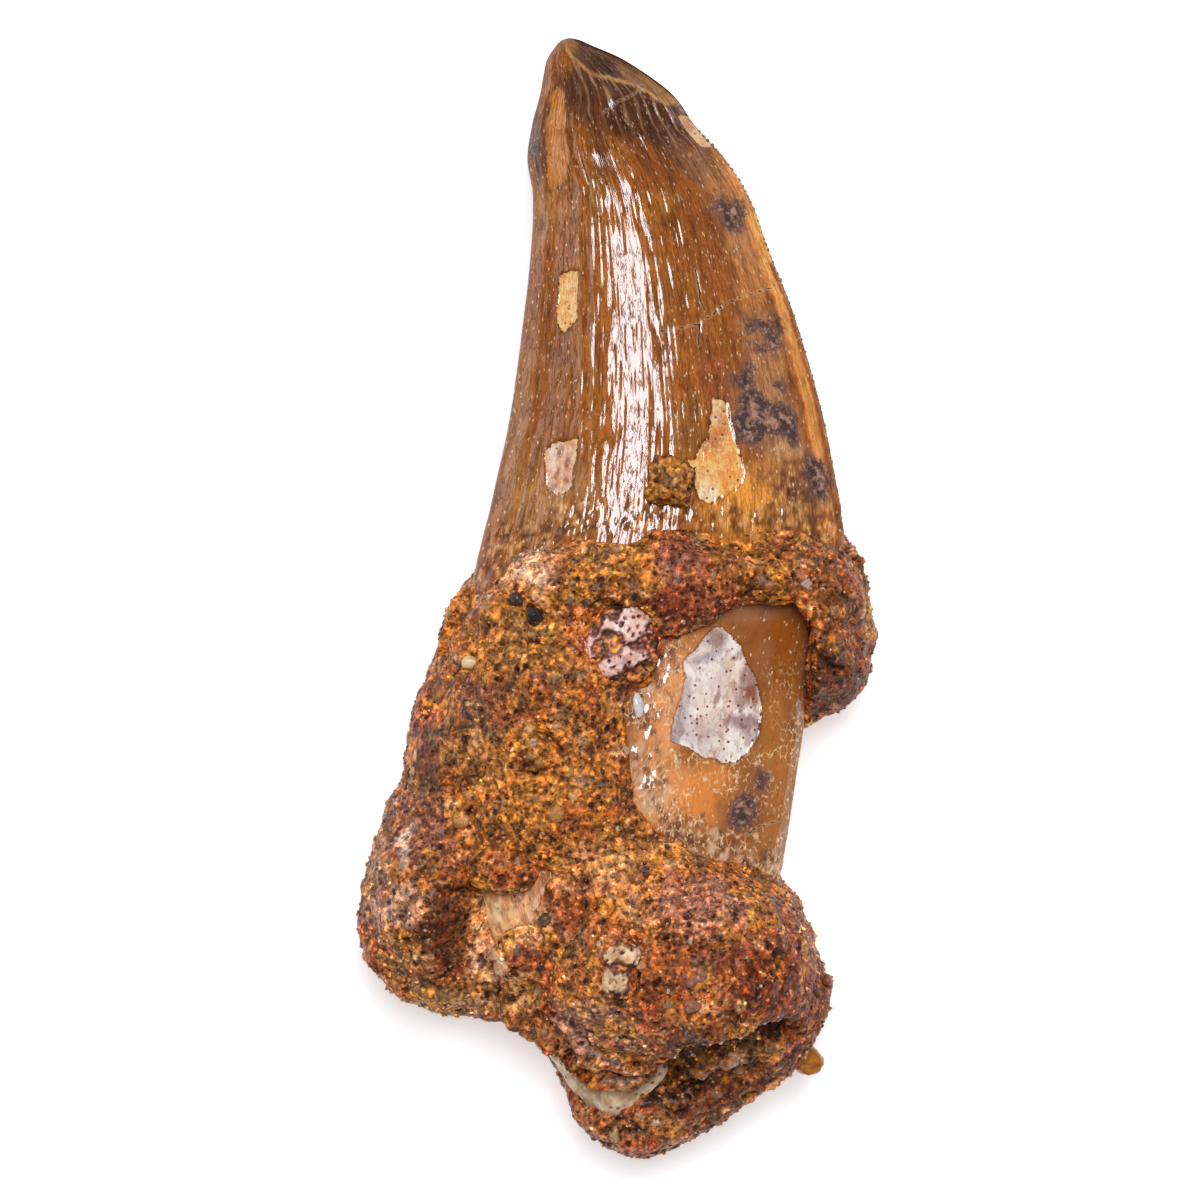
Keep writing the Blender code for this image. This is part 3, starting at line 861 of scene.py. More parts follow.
def root_colours(points, places, marks):
    """The root's own colours."""
    swayed = places + shake(points, 5, 2.2, 3, 51)
    plain = blend((0.42, 0.17, 0.045), (0.28, 0.1, 0.03), 0.5 + 0.5 * rough(points, 3.0, 3, 53))
    shown = patched(plain, swayed, ROOT_TINTS)
    shown = blend(shown * ROOT_GAIN, *crusty_spots(points, places))
    sandy = step_up(-0.1, 0.4, rough(points, 0.9, 4, 55)) * step_up(*MATT_FROM, places[:, 1])
    shown = blend(shown, (0.56, 0.25, 0.09), 0.75 * sandy)
    chalky = step_up(970, 1030, places[:, 1])
    chalk = blend((0.66, 0.42, 0.24), (1.2, 0.94, 0.65), step_up(-0.6, 0.4, rough(points, 0.8, 4, 54)))
    shown = blend(shown, chalk, 0.75 * chalky)
    return np.where((marks["side"] > 0)[:, None], shown, plain)


def patch_colours(points, places):
    """The bare dentine: whitish blocks with lavender edges, red-brown marks and pores."""
    colours = patched(np.tile((1.0, 0.88, 0.76), (len(points), 1)), places, PATCH_TINTS)
    red = rough(points * (1, 0.7, 1), 1.3, 4, 56) + 0.35 * step_up(700, 740, places[:, 0])
    colours = blend(colours, (0.34, 0.15, 0.11), 0.8 * step_up(0.45, 0.8, red))
    haze = step_up(0.2, 0.7, rough(points, 1.9, 3, 57))
    return blend(colours, (0.62, 0.5, 0.5), 0.4 * haze)


def root_relief(marks, points, places):
    """How far the root stands off the plain tooth, in millimetres."""
    height = 0.05 * lumps(points, 4.0, 64) + 0.02 * rough(points, 1.2, 2, 65)
    height += 0.01 * marks["ridge"]
    height += 0.09 * rough(points, 0.6, 3, 36) * crust_share(points, places) * (marks["side"] > 0)
    height += 0.12 * rough(points, 0.8, 2, 68) * step_up(*MATT_FROM, places[:, 1])
    height -= 0.14 * step_up(-0.8, 0.8, marks["chip"]) * (1 + 0.5 * lumps(points, 0.9, 66))
    height -= 0.05 * (1 - step_up(0.2, 1.6, marks["crack"]))
    height = np.where(marks["y"] > SEAM_AT - 0.1, -SEAM_INSET, height)
    return height * (marks["ring"] > 1)


def crazing(marks, points, places):
    """How strongly the net of pale cracks shows in the window."""
    low = 0.9 * step_up(735, 770, places[:, 1]) + 0.8 * step_up(705, 675, places[:, 0])
    right = 0.6 * step_up(750, 775, places[:, 0]) * step_up(640, 700, places[:, 1])
    shown = np.clip(low + right, 0, 0.85) * (marks["side"] > 0)
    return shown * step_up(-0.6, 0.1, rough(points, 2.0, 3, 67))


def make_root(finish):
    """The root, from just inside the crown to its broken end."""
    share = np.arange(TOOTH_RINGS) / (TOOTH_RINGS - 1)
    top = SEAM_AT + SEAM_LAP
    end = TOOTH_STATIONS[-1][0]
    y_of_ring = np.insert(top - (top - end) * share, 0, top)
    obj, marks = tooth_blank("root", y_of_ring, 0)
    points = points_of(obj)
    places = in_photo(points)
    shaken = places + shake(points, 1.5, 0.8, 2, 61)
    marks.update(surface_marks(marks["side"], shaken, shaken, (DENTINE_PATCH,), ROOT_STAINS, ROOT_CRACKS))
    folds = np.stack([60 * marks["across"], marks["y"] / 4, marks["side"] * 9], axis=1)
    marks["ridge"] = lumps(folds, 1.0, 63)
    marks["line"] = crazing(marks, points, places)
    height = root_relief(marks, points, places)
    move_points(obj, points + normals_of(obj) * height[:, None])
    note_values(obj, "polish", polish(points, normals_of(obj)) * step_up(885, 860, places[:, 1]))
    note_values(obj, "pitted", 0.9 * step_up(860, 900, places[:, 1]))
    note_marks(obj, marks)
    note_colours(obj, "tint", root_colours(points, places, marks))
    note_colours(obj, "chip_tint", patch_colours(points, shaken))
    finish_piece(obj, finish, "tooth", "tooth")


def block_edges(paint, place, here):
    """Distance from the uneven edges of irregular blocks."""
    uneven = paint.fit(paint.cloud(here, 2.6, 4.0, 0.65), 0.3, 0.7, -0.1, 0.1)
    return paint.sum(paint.cells(place, 1.0, "Distance", "DISTANCE_TO_EDGE"), uneven)


def netted(paint, here):
    """Pale cracks that net the bare dentine, and its pits."""
    edge = block_edges(paint, paint.stretched(here, (1.9, 1.15, 1.5)), here)
    broken = paint.fit(paint.cloud(here, 1.8, 4.0, 0.7), 0.42, 0.56)
    net = paint.times(paint.times(paint.fit(edge, 0.09, 0.0), broken), paint.noted("line"))
    paint.cover((1.0, 0.7, 0.38), net)
    pits = paint.fit(paint.cells(here, 1.0), 0.26, 0.12)
    paint.tone((0.34, 0.15, 0.08), paint.times(pits, paint.noted("pitted")))


def blocky(paint, here):
    """The cream blocks, dark pores and dull seams of the white patch."""
    place = paint.stretched(here, (0.8, 0.5, 1.0))
    paint.tone((0.86, 0.72, 0.66), paint.cells(place, 1.0, "Color"), 0.55, 0.2)
    paint.tone((0.5, 0.32, 0.3), block_edges(paint, place, here), 0.06, 0.0, 0.0, 0.25)
    smoky = paint.streams(here, (1.5, 0.7, 1.0), 6.0, 0.75)
    paint.tone((0.6, 0.46, 0.5), smoky, 0.53, 0.62, 0.0, 0.8)
    paint.cover((1.0, 0.96, 0.88), smoky, 0.44, 0.36, 0.0, 0.45)
    paint.tone((0.3, 0.09, 0.06), paint.cells(here, 1.6), 0.24, 0.14)


def mottled(paint, here):
    """The orange and cream mottles and brown pits of a chip in the enamel."""
    paint.tone((0.9, 0.46, 0.18), paint.cloud(here, 1.5, 6.0, 0.75), 0.47, 0.56, 0.0, 0.7)
    paint.cover((1.0, 0.74, 0.44), paint.cloud(here, 2.8, 4.0, 0.7), 0.54, 0.62, 0.0, 0.55)
    paint.cover((0.3, 0.1, 0.06), paint.cells(here, 1.2), 0.2, 0.12)


def streaked(paint, flow, mottle, wrinkle_share):
    """Streaks and flecks along the tooth, with painted shade in its wrinkles' valleys. Gives back the
    seams between its wrinkles.
    """
    streaks = paint.streams(flow, (3.0, 0.5, 1.0), 5.0, 0.72)
    paint.tone((0.34, 0.25, 0.2), streaks, 0.5, 0.66, 0.0, 0.15 + 0.45 * wrinkle_share)
    paint.tone((1.5, 1.45, 1.2), streaks, 0.46, 0.32, 0.0, 0.1 + 0.45 * wrinkle_share)
    web = paint.streams(flow, (1.9, 0.36, 1.0), 4.0, 0.6)
    seams = paint.times(paint.fit(web, 0.465, 0.495), paint.fit(web, 0.535, 0.505))
    paint.tone((0.5, 0.36, 0.26), paint.times(seams, 0.5 * wrinkle_share))
    flecks = paint.streams(flow, (7.0, 1.0, 1.0), 3.0, 0.6)
    paint.tone((0.3, 0.24, 0.2), flecks, 0.6, 0.72, 0.0, 0.5)
    paint.tone((0.45, 0.4, 0.4), mottle, 0.52, 0.75, 0.0, 0.5)
    # Painted shade: darker where the wrinkles dip.
    paint.tone((0.3, 0.18, 0.1), paint.noted("ridge"), -0.1, -0.6, 0.0, 0.36 * wrinkle_share)
    return seams


def painted_glints(paint, flow, here):
    """Painted glints: small pale raised specks here and there. Gives back where they are."""
    glint_cells = paint.cells(paint.stretched(flow, (2.6, 1.3, 1.0)), 1.0)
    rare = paint.fit(paint.cloud(here, 1.7, 2.0), 0.4, 0.56)
    glints = paint.times(paint.fit(glint_cells, 0.26, 0.12, 0.0, 0.9), rare)
    # The glints are painted as pale cream specks.
    paint.cover((0.95, 0.66, 0.4), glints)
    return glints


def soaked(paint, here, mottle):
    """Blackish stains with brown halos and uneven edges."""
    stain = paint.noted("stain")
    soak = paint.sum(stain, paint.fit(paint.cloud(here, 2.2, 6.0, 0.75), 0.3, 0.7, -5.5, 7.5))
    paint.cover((0.24, 0.12, 0.09), stain, -12.0, 0.0, 0.0, 0.35)
    colour = paint.mix(DARK_PURPLE, (0.52, 0.27, 0.18), paint.fit(mottle, 0.45, 0.6))
    colour = paint.mix(colour, (0.06, 0.032, 0.036), paint.fit(soak, 8.0, 2.0, 0.0, 0.85))
    paint.cover(colour, paint.times(paint.fit(soak, -1.6, 1.9), 0.92))


def chipped(paint, here, bared):
    """Chips with dark rims, over a pattern of their own. Gives back how much they show."""
    nibble = paint.fit(paint.cloud(here, 5.0, 3.0, 0.6), 0.3, 0.7, -0.9, 0.9)
    depth = paint.sum(paint.noted("chip"), nibble)
    paint.tone((0.25, 0.12, 0.08), paint.times(paint.fit(depth, -2.4, -0.6), 0.6))
    share = paint.fit(depth, -0.3, 0.3)
    covered, paint.colour = paint.colour, paint.noted("chip_tint", "Color")
    bared(paint, here)
    paint.colour = paint.mix(covered, paint.colour, share)
    return share


def tooth_finish(name, wrinkle_share, roughness, crazed):
    """Lacquered fossil enamel or dentine, with its chips, stains and cracks."""
    paint = Finish(name, roughness, shine=0.08, coat=0.9, coat_roughness=0.06)
    here = paint.start()
    flow = paint.noted("flow", "Vector")
    mottle = paint.cloud(here, 1.1, 5.0, 0.65)
    seams = streaked(paint, flow, mottle, wrinkle_share)
    if crazed:
        netted(paint, here)
    else:
        # Painted highlight: the raised lines are painted a lighter tan along their crests.
        paint.cover((0.52, 0.27, 0.12), paint.times(paint.noted("line"), 0.85))
    glints = painted_glints(paint, flow, here)
    soaked(paint, here, mottle)
    chip_share = chipped(paint, here, blocky if crazed else mottled)
    crack = paint.noted("crack")
    paint.cover((0.65, 0.38, 0.2), crack, 2.4, 1.2, 0.0, 0.4)
    paint.cover((0.03, 0.012, 0.008), crack, 1.1, 0.5, 0.0, 0.9)
    fine = paint.streams(flow, (4.5, 1.4, 1.0), 5.0, 0.65)
    normal = paint.raised(fine, 0.11 * wrinkle_share + 0.02)
    normal = paint.raised(paint.cloud(here, 5.0, 3.0, 0.6), 0.014, 1.0, normal)
    normal = paint.raised(glints, 0.05, 1.0, normal)
    normal = paint.raised(seams, -0.03 * wrinkle_share, 1.0, normal)
    gloss = paint.fit(mottle, 0.3, 0.7, roughness - 0.05, roughness + 0.1)
    gloss = paint.sum(gloss, paint.times(chip_share, 0.25))
    sealed = paint.fit(paint.times(seams, wrinkle_share), 0.1, 0.8, 0.9, 0.1)
    coat = paint.times(sealed, paint.noted("polish"))
    paint.shine({"Coat Weight": coat, "Coat IOR": LACQUER_IOR})
    return paint.done(Normal=normal, Roughness=gloss)


def tooth_tree():
    """The plain tooth's surface, for finding what touches it."""
    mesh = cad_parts["tooth"].data
    points = [vertex.co / MM for vertex in mesh.vertices]
    return BVHTree.FromPolygons(points, [list(face.vertices) for face in mesh.polygons])


def tooth_clearance(tree, points):
    """Distance out of the tooth, below zero inside it, and the way out."""
    distances = np.empty(len(points))
    ways = np.empty((len(points), 3))
    for index, point in enumerate(points):
        place, way, _, _ = tree.find_nearest(Vector(point))
        distances[index] = (Vector(point) - place).dot(way)
        ways[index] = way
    return distances, ways


def make_serrations(finish):
    """The fine denticles down the front edge of the crown."""
    chance = np.random.default_rng(5)
    y = np.linspace(*SERRATED, 400)
    _, front, _, middle = tooth_station(y)
    along = np.concatenate([[0], np.cumsum(np.hypot(np.diff(y), np.diff(front)))])
    steps = np.arange(0, along[-1], SERRATION_SPACING)
    place_y = np.interp(steps, along, y)
    edge = np.interp(place_y, y, front)
    centres = np.stack([edge - 0.14, place_y, np.interp(place_y, y, middle)], axis=1)
    sizes = SERRATION_SIZE * (0.9 + 0.2 * chance.random((len(steps), 1)))
    colours = SERRATION_COLOUR * (0.7 + 0.6 * chance.random((len(steps), 1)))
    join_grains("serrations", centres, sizes, colours, finish, "tooth", chance)


# Sandstone

# Iron stains on the stone, together with painted shadows: the near-black patches on and under the right
# lobe, inside the arch over the window, at the foot of the boulder and below the low lump's overhang.
STONE_STAINS_AND_SHADOWS = (
    (669, 485, 34, 36, 0, 0.34, 0.16, 0.04, 0.95), (655, 470, 10, 12, 0, 0.5, 0.28, 0.12, 0.6),
    (520, 562, 46, 30, 20, 0.78, 0.48, 0.34, 0.9), (470, 600, 20, 36, 30, 0.5, 0.22, 0.07, 0.8),
    (600, 545, 40, 20, 10, 0.5, 0.24, 0.08, 0.8), (610, 580, 46, 30, 0, 0.36, 0.16, 0.035, 0.8),
    (690, 560, 44, 34, 0, 0.26, 0.085, 0.05, 0.9), (680, 610, 44, 26, 0, 0.18, 0.05, 0.028, 0.9),
    (590, 630, 36, 26, 20, 0.5, 0.16, 0.06, 0.85), (640, 640, 24, 18, 0, 0.32, 0.1, 0.06, 0.7),
    # (760, 590) is painted shade inside the crust's arch over the window.
    (755, 570, 46, 30, 10, 0.26, 0.105, 0.025, 0.85), (760, 590, 40, 10, 0, 0.14, 0.05, 0.015, 0.8),
    (790, 545, 30, 16, 0, 0.34, 0.17, 0.07, 0.7), (825, 560, 26, 40, 0, 0.24, 0.1, 0.03, 0.85),
    # (845, 620), (835, 680) and (828, 655) are painted shade down the right lobe and under it.
    (800, 575, 14, 14, 0, 0.5, 0.3, 0.2, 0.7), (845, 620, 30, 50, 0, 0.17, 0.058, 0.014, 0.9),
    (835, 680, 40, 30, 0, 0.11, 0.032, 0.01, 0.92), (828, 655, 14, 16, 0, 0.06, 0.022, 0.01, 0.8),
    (520, 640, 60, 40, 20, 0.34, 0.17, 0.05, 0.7), (480, 690, 34, 16, 0, 0.2, 0.075, 0.045, 0.8),
    (560, 690, 60, 30, 0, 0.36, 0.15, 0.035, 0.7), (620, 705, 24, 18, 0, 0.2, 0.1, 0.06, 0.8),
    (480, 750, 50, 30, 0, 0.3, 0.16, 0.06, 0.6), (540, 780, 70, 60, 0, 0.48, 0.21, 0.045, 0.8),
    (640, 760, 26, 40, 0, 0.44, 0.16, 0.05, 0.7), (590, 820, 60, 40, 0, 0.4, 0.17, 0.035, 0.7),
    (430, 760, 18, 40, 0, 0.1, 0.035, 0.018, 0.9), (420, 830, 44, 50, 15, 0.22, 0.1, 0.07, 0.85),
    (405, 848, 7, 26, 20, 0.48, 0.42, 0.4, 0.85), (376, 870, 10, 40, 10, 0.45, 0.27, 0.17, 0.8),
    # (445, 930) is painted shade at the foot of the boulder.
    (400, 908, 34, 24, 0, 0.57, 0.36, 0.29, 0.9), (445, 930, 28, 60, 10, 0.085, 0.03, 0.014, 0.95),
    (395, 955, 30, 30, 0, 0.4, 0.18, 0.05, 0.8), (450, 1000, 50, 16, 8, 0.36, 0.2, 0.09, 0.8),
    (508, 915, 40, 30, 0, 0.85, 0.5, 0.28, 0.98), (487, 962, 20, 26, 0, 0.74, 0.46, 0.3, 0.85),
    (520, 990, 24, 22, 0, 0.44, 0.24, 0.09, 0.8), (590, 870, 50, 26, -10, 0.58, 0.28, 0.14, 0.8),
    (660, 850, 50, 20, 0, 0.58, 0.27, 0.1, 0.75), (650, 900, 40, 24, 0, 0.58, 0.26, 0.09, 0.8),
    (700, 905, 56, 32, 0, 0.36, 0.17, 0.13, 0.9), (760, 880, 40, 24, 20, 0.36, 0.15, 0.04, 0.8),
    (790, 920, 36, 24, 20, 0.26, 0.08, 0.035, 0.8), (600, 960, 50, 40, 0, 0.42, 0.165, 0.06, 0.75),
    # Painted shade: (780, 990) darkens the low lump's lower right, and (700, 1045) and (690, 1100) paint
    # the shadow under its overhang.
    (780, 990, 60, 50, 0, 0.17, 0.038, 0.012, 0.92), (700, 980, 50, 40, 0, 0.3, 0.1, 0.04, 0.85),
    (600, 1030, 54, 36, 10, 0.26, 0.155, 0.12, 0.85), (700, 1045, 40, 22, 0, 0.12, 0.04, 0.018, 0.9),
    (625, 1080, 28, 12, 15, 0.55, 0.3, 0.17, 0.9), (690, 1100, 70, 26, -15, 0.14, 0.05, 0.022, 0.9),
    (740, 1060, 16, 14, 0, 0.5, 0.28, 0.18, 0.8), (650, 1125, 50, 16, -10, 0.34, 0.16, 0.07, 0.8),
    (580, 1110, 20, 40, -20, 0.3, 0.12, 0.05, 0.8),
)
# Mottles: colour, size, where the pattern starts and fills, and strength
STONE_MOTTLES = (
    ((0.16, 0.1, 0.05), 1.8, 0.35, 0.8, 0.75),
    ((0.5, 0.24, 0.035), 2.4, 0.3, 0.75, 0.6),
    ((0.26, 0.06, 0.025), 2.1, 0.4, 0.8, 0.6),
    ((0.06, 0.024, 0.014), 1.5, 0.5, 0.9, 0.8),
    ((0.62, 0.36, 0.19), 1.4, 0.55, 0.95, 0.7),
)
# Smoother places: x, y, half width, half height and turn
SMOOTH_PLACES = (
    (425, 760, 20, 44, 0), (508, 915, 34, 28, 0), (405, 850, 20, 40, 10), (620, 705, 24, 20, 0),
    (600, 1080, 24, 50, -35),
)


# Lines in pixels where the crust thins out to nothing: line, thickness there and growth a pixel
FEATHERED_EDGES = (
    (((430, 640), (452, 606), (470, 585), (500, 548), (560, 535), (600, 521), (640, 515),
      (690, 520), (702, 531), (760, 540), (800, 522), (850, 530)), -0.05, 0.028),
    (((668, 648), (642, 690), (636, 760), (642, 800), (670, 830), (720, 850), (790, 872)),
     -0.1, 0.03),
    (((474, 897), (470, 925)), 0.0, 0.09),
    (((536, 897), (535, 935)), 0.0, 0.09),
    (((535, 1030), (563, 1066), (590, 1110), (625, 1130)), -0.1, 0.09),
)
# Grooves in pixels: line, half width and depth in millimetres. The stone is painted darker along them, as
# painted shade.
GROOVES = (
    (((606, 1080), (625, 1090), (645, 1092), (668, 1078), (700, 1062), (745, 1046), (790, 1030)),
     16, 1.6),
    (((640, 1100), (680, 1096), (720, 1080), (760, 1070)), 14, 0.8),
    (((462, 893), (490, 897), (520, 894), (536, 900)), 7, 0.7),
    (((613, 578), (616, 590), (624, 606)), 5, 0.6),
    (((742, 602), (755, 592), (768, 594)), 6, 0.6),
    (((640, 650), (655, 645), (672, 640)), 7, 0.7),
    (((588, 612), (600, 600), (612, 604)), 5, 0.5),
    (((776, 952), (780, 965), (783, 976)), 6, 0.9),
    (((690, 948), (712, 950), (728, 946)), 4, 0.4),
    (((640, 838), (662, 842), (680, 838)), 5, 0.5),
    (((622, 950), (628, 960), (626, 970)), 5, 0.8),
    (((538, 738), (550, 744), (560, 748)), 7, 0.8),
    (((520, 772), (534, 776), (548, 770)), 5, 0.6),
    (((486, 985), (496, 992), (506, 990)), 6, 0.7),
    (((660, 1108), (672, 1116), (682, 1112)), 6, 0.7),
    (((806, 640), (820, 655), (836, 668)), 7, 0.6),
)


# Lumps that close the stone over the root: x, y, half width, half height, thickness and rise
STONE_FILLS = (
    (508, 866, 42, 27, 1.9, 0.2), (558, 915, 20, 46, 1.4, 0.3), (488, 966, 22, 28, 1.2, 0.3),
    (520, 968, 20, 26, 1.2, 0.5), (528, 1004, 30, 26, 1.3, 0.6), (556, 1036, 22, 18, 1.0, 0.3),
    (655, 845, 30, 18, 1.2, 0.0), (500, 985, 50, 34, 1.6, 0.5), (530, 950, 34, 30, 1.5, 0.4),
    (560, 1020, 40, 30, 1.6, 0.5), (612, 1056, 52, 32, 1.7, 0.7), (672, 1076, 50, 28, 1.5, 0.2),
)


def crust_limit(places, points):
    """The most that the crust may stand out of the tooth, which it thins out on."""
    limit = np.full(len(points), 99.0)
    ragged = 20 * rough(points, 2.4, 4, 77)
    for line, thin, growth in FEATHERED_EDGES:
        away = edge_distances(places, line, False)
        reach = np.maximum(away + ragged, 0.3 * away - 2)
        limit = np.minimum(limit, thin + growth * reach + 0.003 * away**2)
    return limit


def groove_depth(places, points):
    """How deep the grooves go at each point."""
    depth = np.zeros(len(points))
    swayed = places + shake(points, 4, 1.5, 2, 78)
    for line, width, deep in GROOVES:
        away = edge_distances(swayed, line, False)
        depth = np.maximum(depth, deep * (1 - step_up(0.2 * width, width, away)))
    return depth


def stone_colours(points):
    """The sandstone's iron stains, and painted shadows on and under its lobes and overhangs, by where
    each point shows in the photograph.
    """
    places = in_photo(points)
    plain = blend(OCHRE, RED_BROWN, np.clip(0.5 + 0.6 * rough(points, 4.0, 3, 73), 0, 1))
    plain = blend(plain, (0.12, 0.045, 0.02), np.clip(rough(points, 2.6, 3, 74), 0, 1))
    colours = patched(plain, places + shake(points, 9, 2.2, 4, 71), STONE_STAINS_AND_SHADOWS)
    top = step_up(3, 9, points[:, 2] + 1.5 * lumps(points, 2.5, 75))
    colours = blend(plain, colours, top)
    for number, (colour, size, low, high, share) in enumerate(STONE_MOTTLES):
        spread = rough(points, size, 4, 300 + 20 * number)
        colours = blend(colours, colour, share * step_up(low, high, spread))
    return STONE_GAIN * colours


def smoothness(points):
    """Where the stone is smooth, from 0 to 1."""
    places = in_photo(points) + shake(points, 6, 2, 1, 81)
    smooth = np.zeros((len(points), 1))
    for spot in SMOOTH_PLACES:
        smooth = patched(smooth, places, ((*spot, 1.0, 1.0),))
    return smooth[:, 0]


def stone_relief(points):
    """Height of the crust over the plain stone, and how much painted shade each point gets for lying in a
    crevice or pit.
    """
    swayed = points + 0.3 * np.stack([lumps(points, 0.8, 84 + axis) for axis in range(3)], axis=1)
    clod, _ = nearest_dot(swayed, 2.1, 91)
    knob, _ = nearest_dot(swayed, 1.0, 95)
    pit, chance = nearest_dot(swayed, 1.5, 103)
    pits = (1 - step_up(0.08, 0.34, pit)) * (chance < 0.4)
    coarse = 0.36 * rough(points, 3.4, 3, 107) + 0.3 * (0.55 - clod)
    wavy = rough(swayed, 0.7, 2, 110)
    fine = 0.16 * (0.55 - knob) + 0.13 * wavy
    crevice_shade = 0.35 * step_up(0.5, 0.85, clod) + 0.4 * step_up(0.5, 0.85, knob)
    crevice_shade += 0.4 * step_up(0.1, -0.9, wavy) + pits
    return coarse, fine - 0.55 * pits, np.clip(crevice_shade, 0, 1.2)


def stone_blank():
    """The plain stone with the few lumps that the photograph adds, as one closed mesh."""
    obj = plain_solid("stone_blank", "sandstone")
    for x, y, wide, high, thick, rise in STONE_FILLS:
        place = ((x - MIDDLE_PIXEL[0]) * PIXEL, (MIDDLE_PIXEL[1] - y) * PIXEL)
        height = tooth_top(*place) + rise
        lump = added(bpy.ops.mesh.primitive_ico_sphere_add, subdivisions=3, radius=MM)
        lump.scale = (wide * PIXEL, high * PIXEL, thick)
        lump.location = (place[0] * MM, place[1] * MM, height * MM)
        combine(obj, lump, "UNION")
        apply_all(obj)
        bpy.data.objects.remove(lump)
    return obj


def stone_band(blank, name, low, high):
    """The fine skin of the stone between two places along it."""
    middle = (low + high) / 2 * MM
    box = added(bpy.ops.mesh.primitive_cube_add, size=1, location=(0, middle, 0.01))
    box.scale = (0.08, (high - low) * MM, 0.06)
    obj = linked(name, blank.data.copy())
    combine(obj, box, "INTERSECT")
    refine(obj, STONE_VOXEL, 10)
    bpy.data.objects.remove(box)
    return obj


def weather_stone(obj, finish, tree):
    """Gives one band of the stone its crust and colours, with painted shade in its crevices and grooves.
    """
    points = points_of(obj)
    places = in_photo(points)
    clearance, ways = tooth_clearance(tree, points)
    wall = 1 - step_up(0.45, 0.9, clearance)
    limit = crust_limit(places, points) + 9 * step_up(-0.1, -0.5, ways[:, 2])
    excess = np.maximum(clearance - np.maximum(limit, -0.25), 0) * (clearance > 0.5)
    smooth = smoothness(points)
    coarse, fine, crevice_shade = stone_relief(points)
    height = (coarse * (1 - 0.6 * smooth) + fine * (1 - 0.8 * smooth)) * (1 - wall)
    height *= step_up(0, 1.2, points[:, 2]) * (0.2 + 0.8 * step_up(0.1, 1.6, limit))
    groove = groove_depth(places, points) * (1 - wall) * step_up(0.0, 0.4, normals_of(obj)[:, 2])
    points += normals_of(obj) * (height - groove)[:, None]
    points -= ways * (0.55 * wall + excess)[:, None]
    points[:, 2] = np.clip(points[:, 2], 0, STONE_TOP)
    move_points(obj, points)
    # Painted shade: the colours are darkened in crevices, pits and grooves.
    shade = 1 - np.clip(0.6 * crevice_shade * (1 - 0.7 * smooth) + 0.5 * step_up(0.1, 0.9, groove), 0, 0.85)
    note_colours(obj, "tint", stone_colours(points) * shade[:, None])
    finish_piece(obj, finish, "sandstone", "sandstone")


def make_sandstone(finish, tree):
    """The stone in bands that overlap a little, each a closed skin."""
    blank = stone_blank()
    bands = []
    for number, (low, high) in enumerate(STONE_BANDS, 1):
        band = stone_band(blank, "sandstone_" + str(number), low, high)
        weather_stone(band, finish, tree)
        bands.append(band)
    bpy.data.objects.remove(blank)
    return bands


def stone_finish(name, shine, coat):
    """Iron-stained sandstone, lacquered here and there, with painted shade in its pits and hollows and
    painted highlights on its raised parts.
    """
    paint = Finish(name, 0.5, shine=shine, coat=coat, coat_roughness=0.12)
    here = paint.start()
    fine = paint.cloud(here, 1.7, 6.0, 0.72)
    patchy = paint.cloud(here, 0.8, 3.0, 0.6)
    bead_value = paint.fit(paint.cells(here, 2.3, "Color"), 0.2, 0.8)
    spongy = paint.fit(paint.cloud(here, 0.5, 3.0, 0.6), 0.46, 0.56)
    holes = paint.times(paint.fit(paint.cells(here, 0.95), 0.36, 0.16), spongy)
    small_holes = paint.fit(paint.cells(here, 1.5), 0.25, 0.13, 0.0, 0.7)
    pits = paint.sum(holes, small_holes, "MAXIMUM")
    paint.tone((1.6, 1.5, 1.4), bead_value, 0.55, 1.0)
    paint.tone((0.6, 0.52, 0.46), bead_value, 0.5, 0.0)
    # Painted shade in the fine relief's hollows, and painted highlights on its raised parts.
    paint.tone((0.17, 0.1, 0.07), fine, 0.5, 0.63, 0.0, 0.88)
    paint.tone((2.3, 2.2, 2.1), fine, 0.47, 0.36, 0.0, 0.95)
    paint.tone((1.25, 1.05, 0.8), patchy, 0.5, 0.62)
    paint.tone((0.62, 0.56, 0.52), patchy, 0.44, 0.32)
    # Painted shade in the pits.
    paint.tone((0.2, 0.12, 0.08), pits)
    normal = paint.raised(pits, -0.3, 0.8)
    normal = paint.raised(paint.cells(here, 2.3), -0.1, 0.7, normal)
    normal = paint.raised(fine, -0.3, 0.9, normal)
    return paint.done(Normal=normal, Roughness=paint.fit(fine, 0.3, 0.7, 0.3, 0.6))


# Sand grains


def crumb_finish():
    """Small pebbles and chips in the crust."""
    paint = Finish("crumb_stone", 0.4, shine=0.4, coat=0.5, coat_roughness=0.15)
    veins = paint.cloud(paint.start(), 2.4, 5.0, 0.7)
    paint.tone((0.45, 0.34, 0.28), veins, 0.48, 0.66, 0.0, 0.9)
    return paint.done(Normal=paint.raised(veins, 0.2, 0.8))


def grain_shape():
    """One sand grain, as its points and triangles."""
    obj = added(bpy.ops.mesh.primitive_ico_sphere_add, subdivisions=1, radius=MM)
    points = points_of(obj)
    faces = np.array([list(face.vertices) for face in obj.data.polygons])
    bpy.data.objects.remove(obj)
    return points, faces


def turns(chance):
    """Rotation matrices from random values, three to each."""
    first, second, third = chance.T
    root, rest = np.sqrt(1 - first), np.sqrt(first)
    x, y = root * np.sin(2 * math.pi * second), root * np.cos(2 * math.pi * second)
    z, w = rest * np.sin(2 * math.pi * third), rest * np.cos(2 * math.pi * third)
    rows = [
        [1 - 2 * (y * y + z * z), 2 * (x * y - z * w), 2 * (x * z + y * w)],
        [2 * (x * y + z * w), 1 - 2 * (x * x + z * z), 2 * (y * z - x * w)],
        [2 * (x * z - y * w), 2 * (y * z + x * w), 1 - 2 * (x * x + y * y)],
    ]
    return np.moveaxis(np.array(rows), 2, 0)


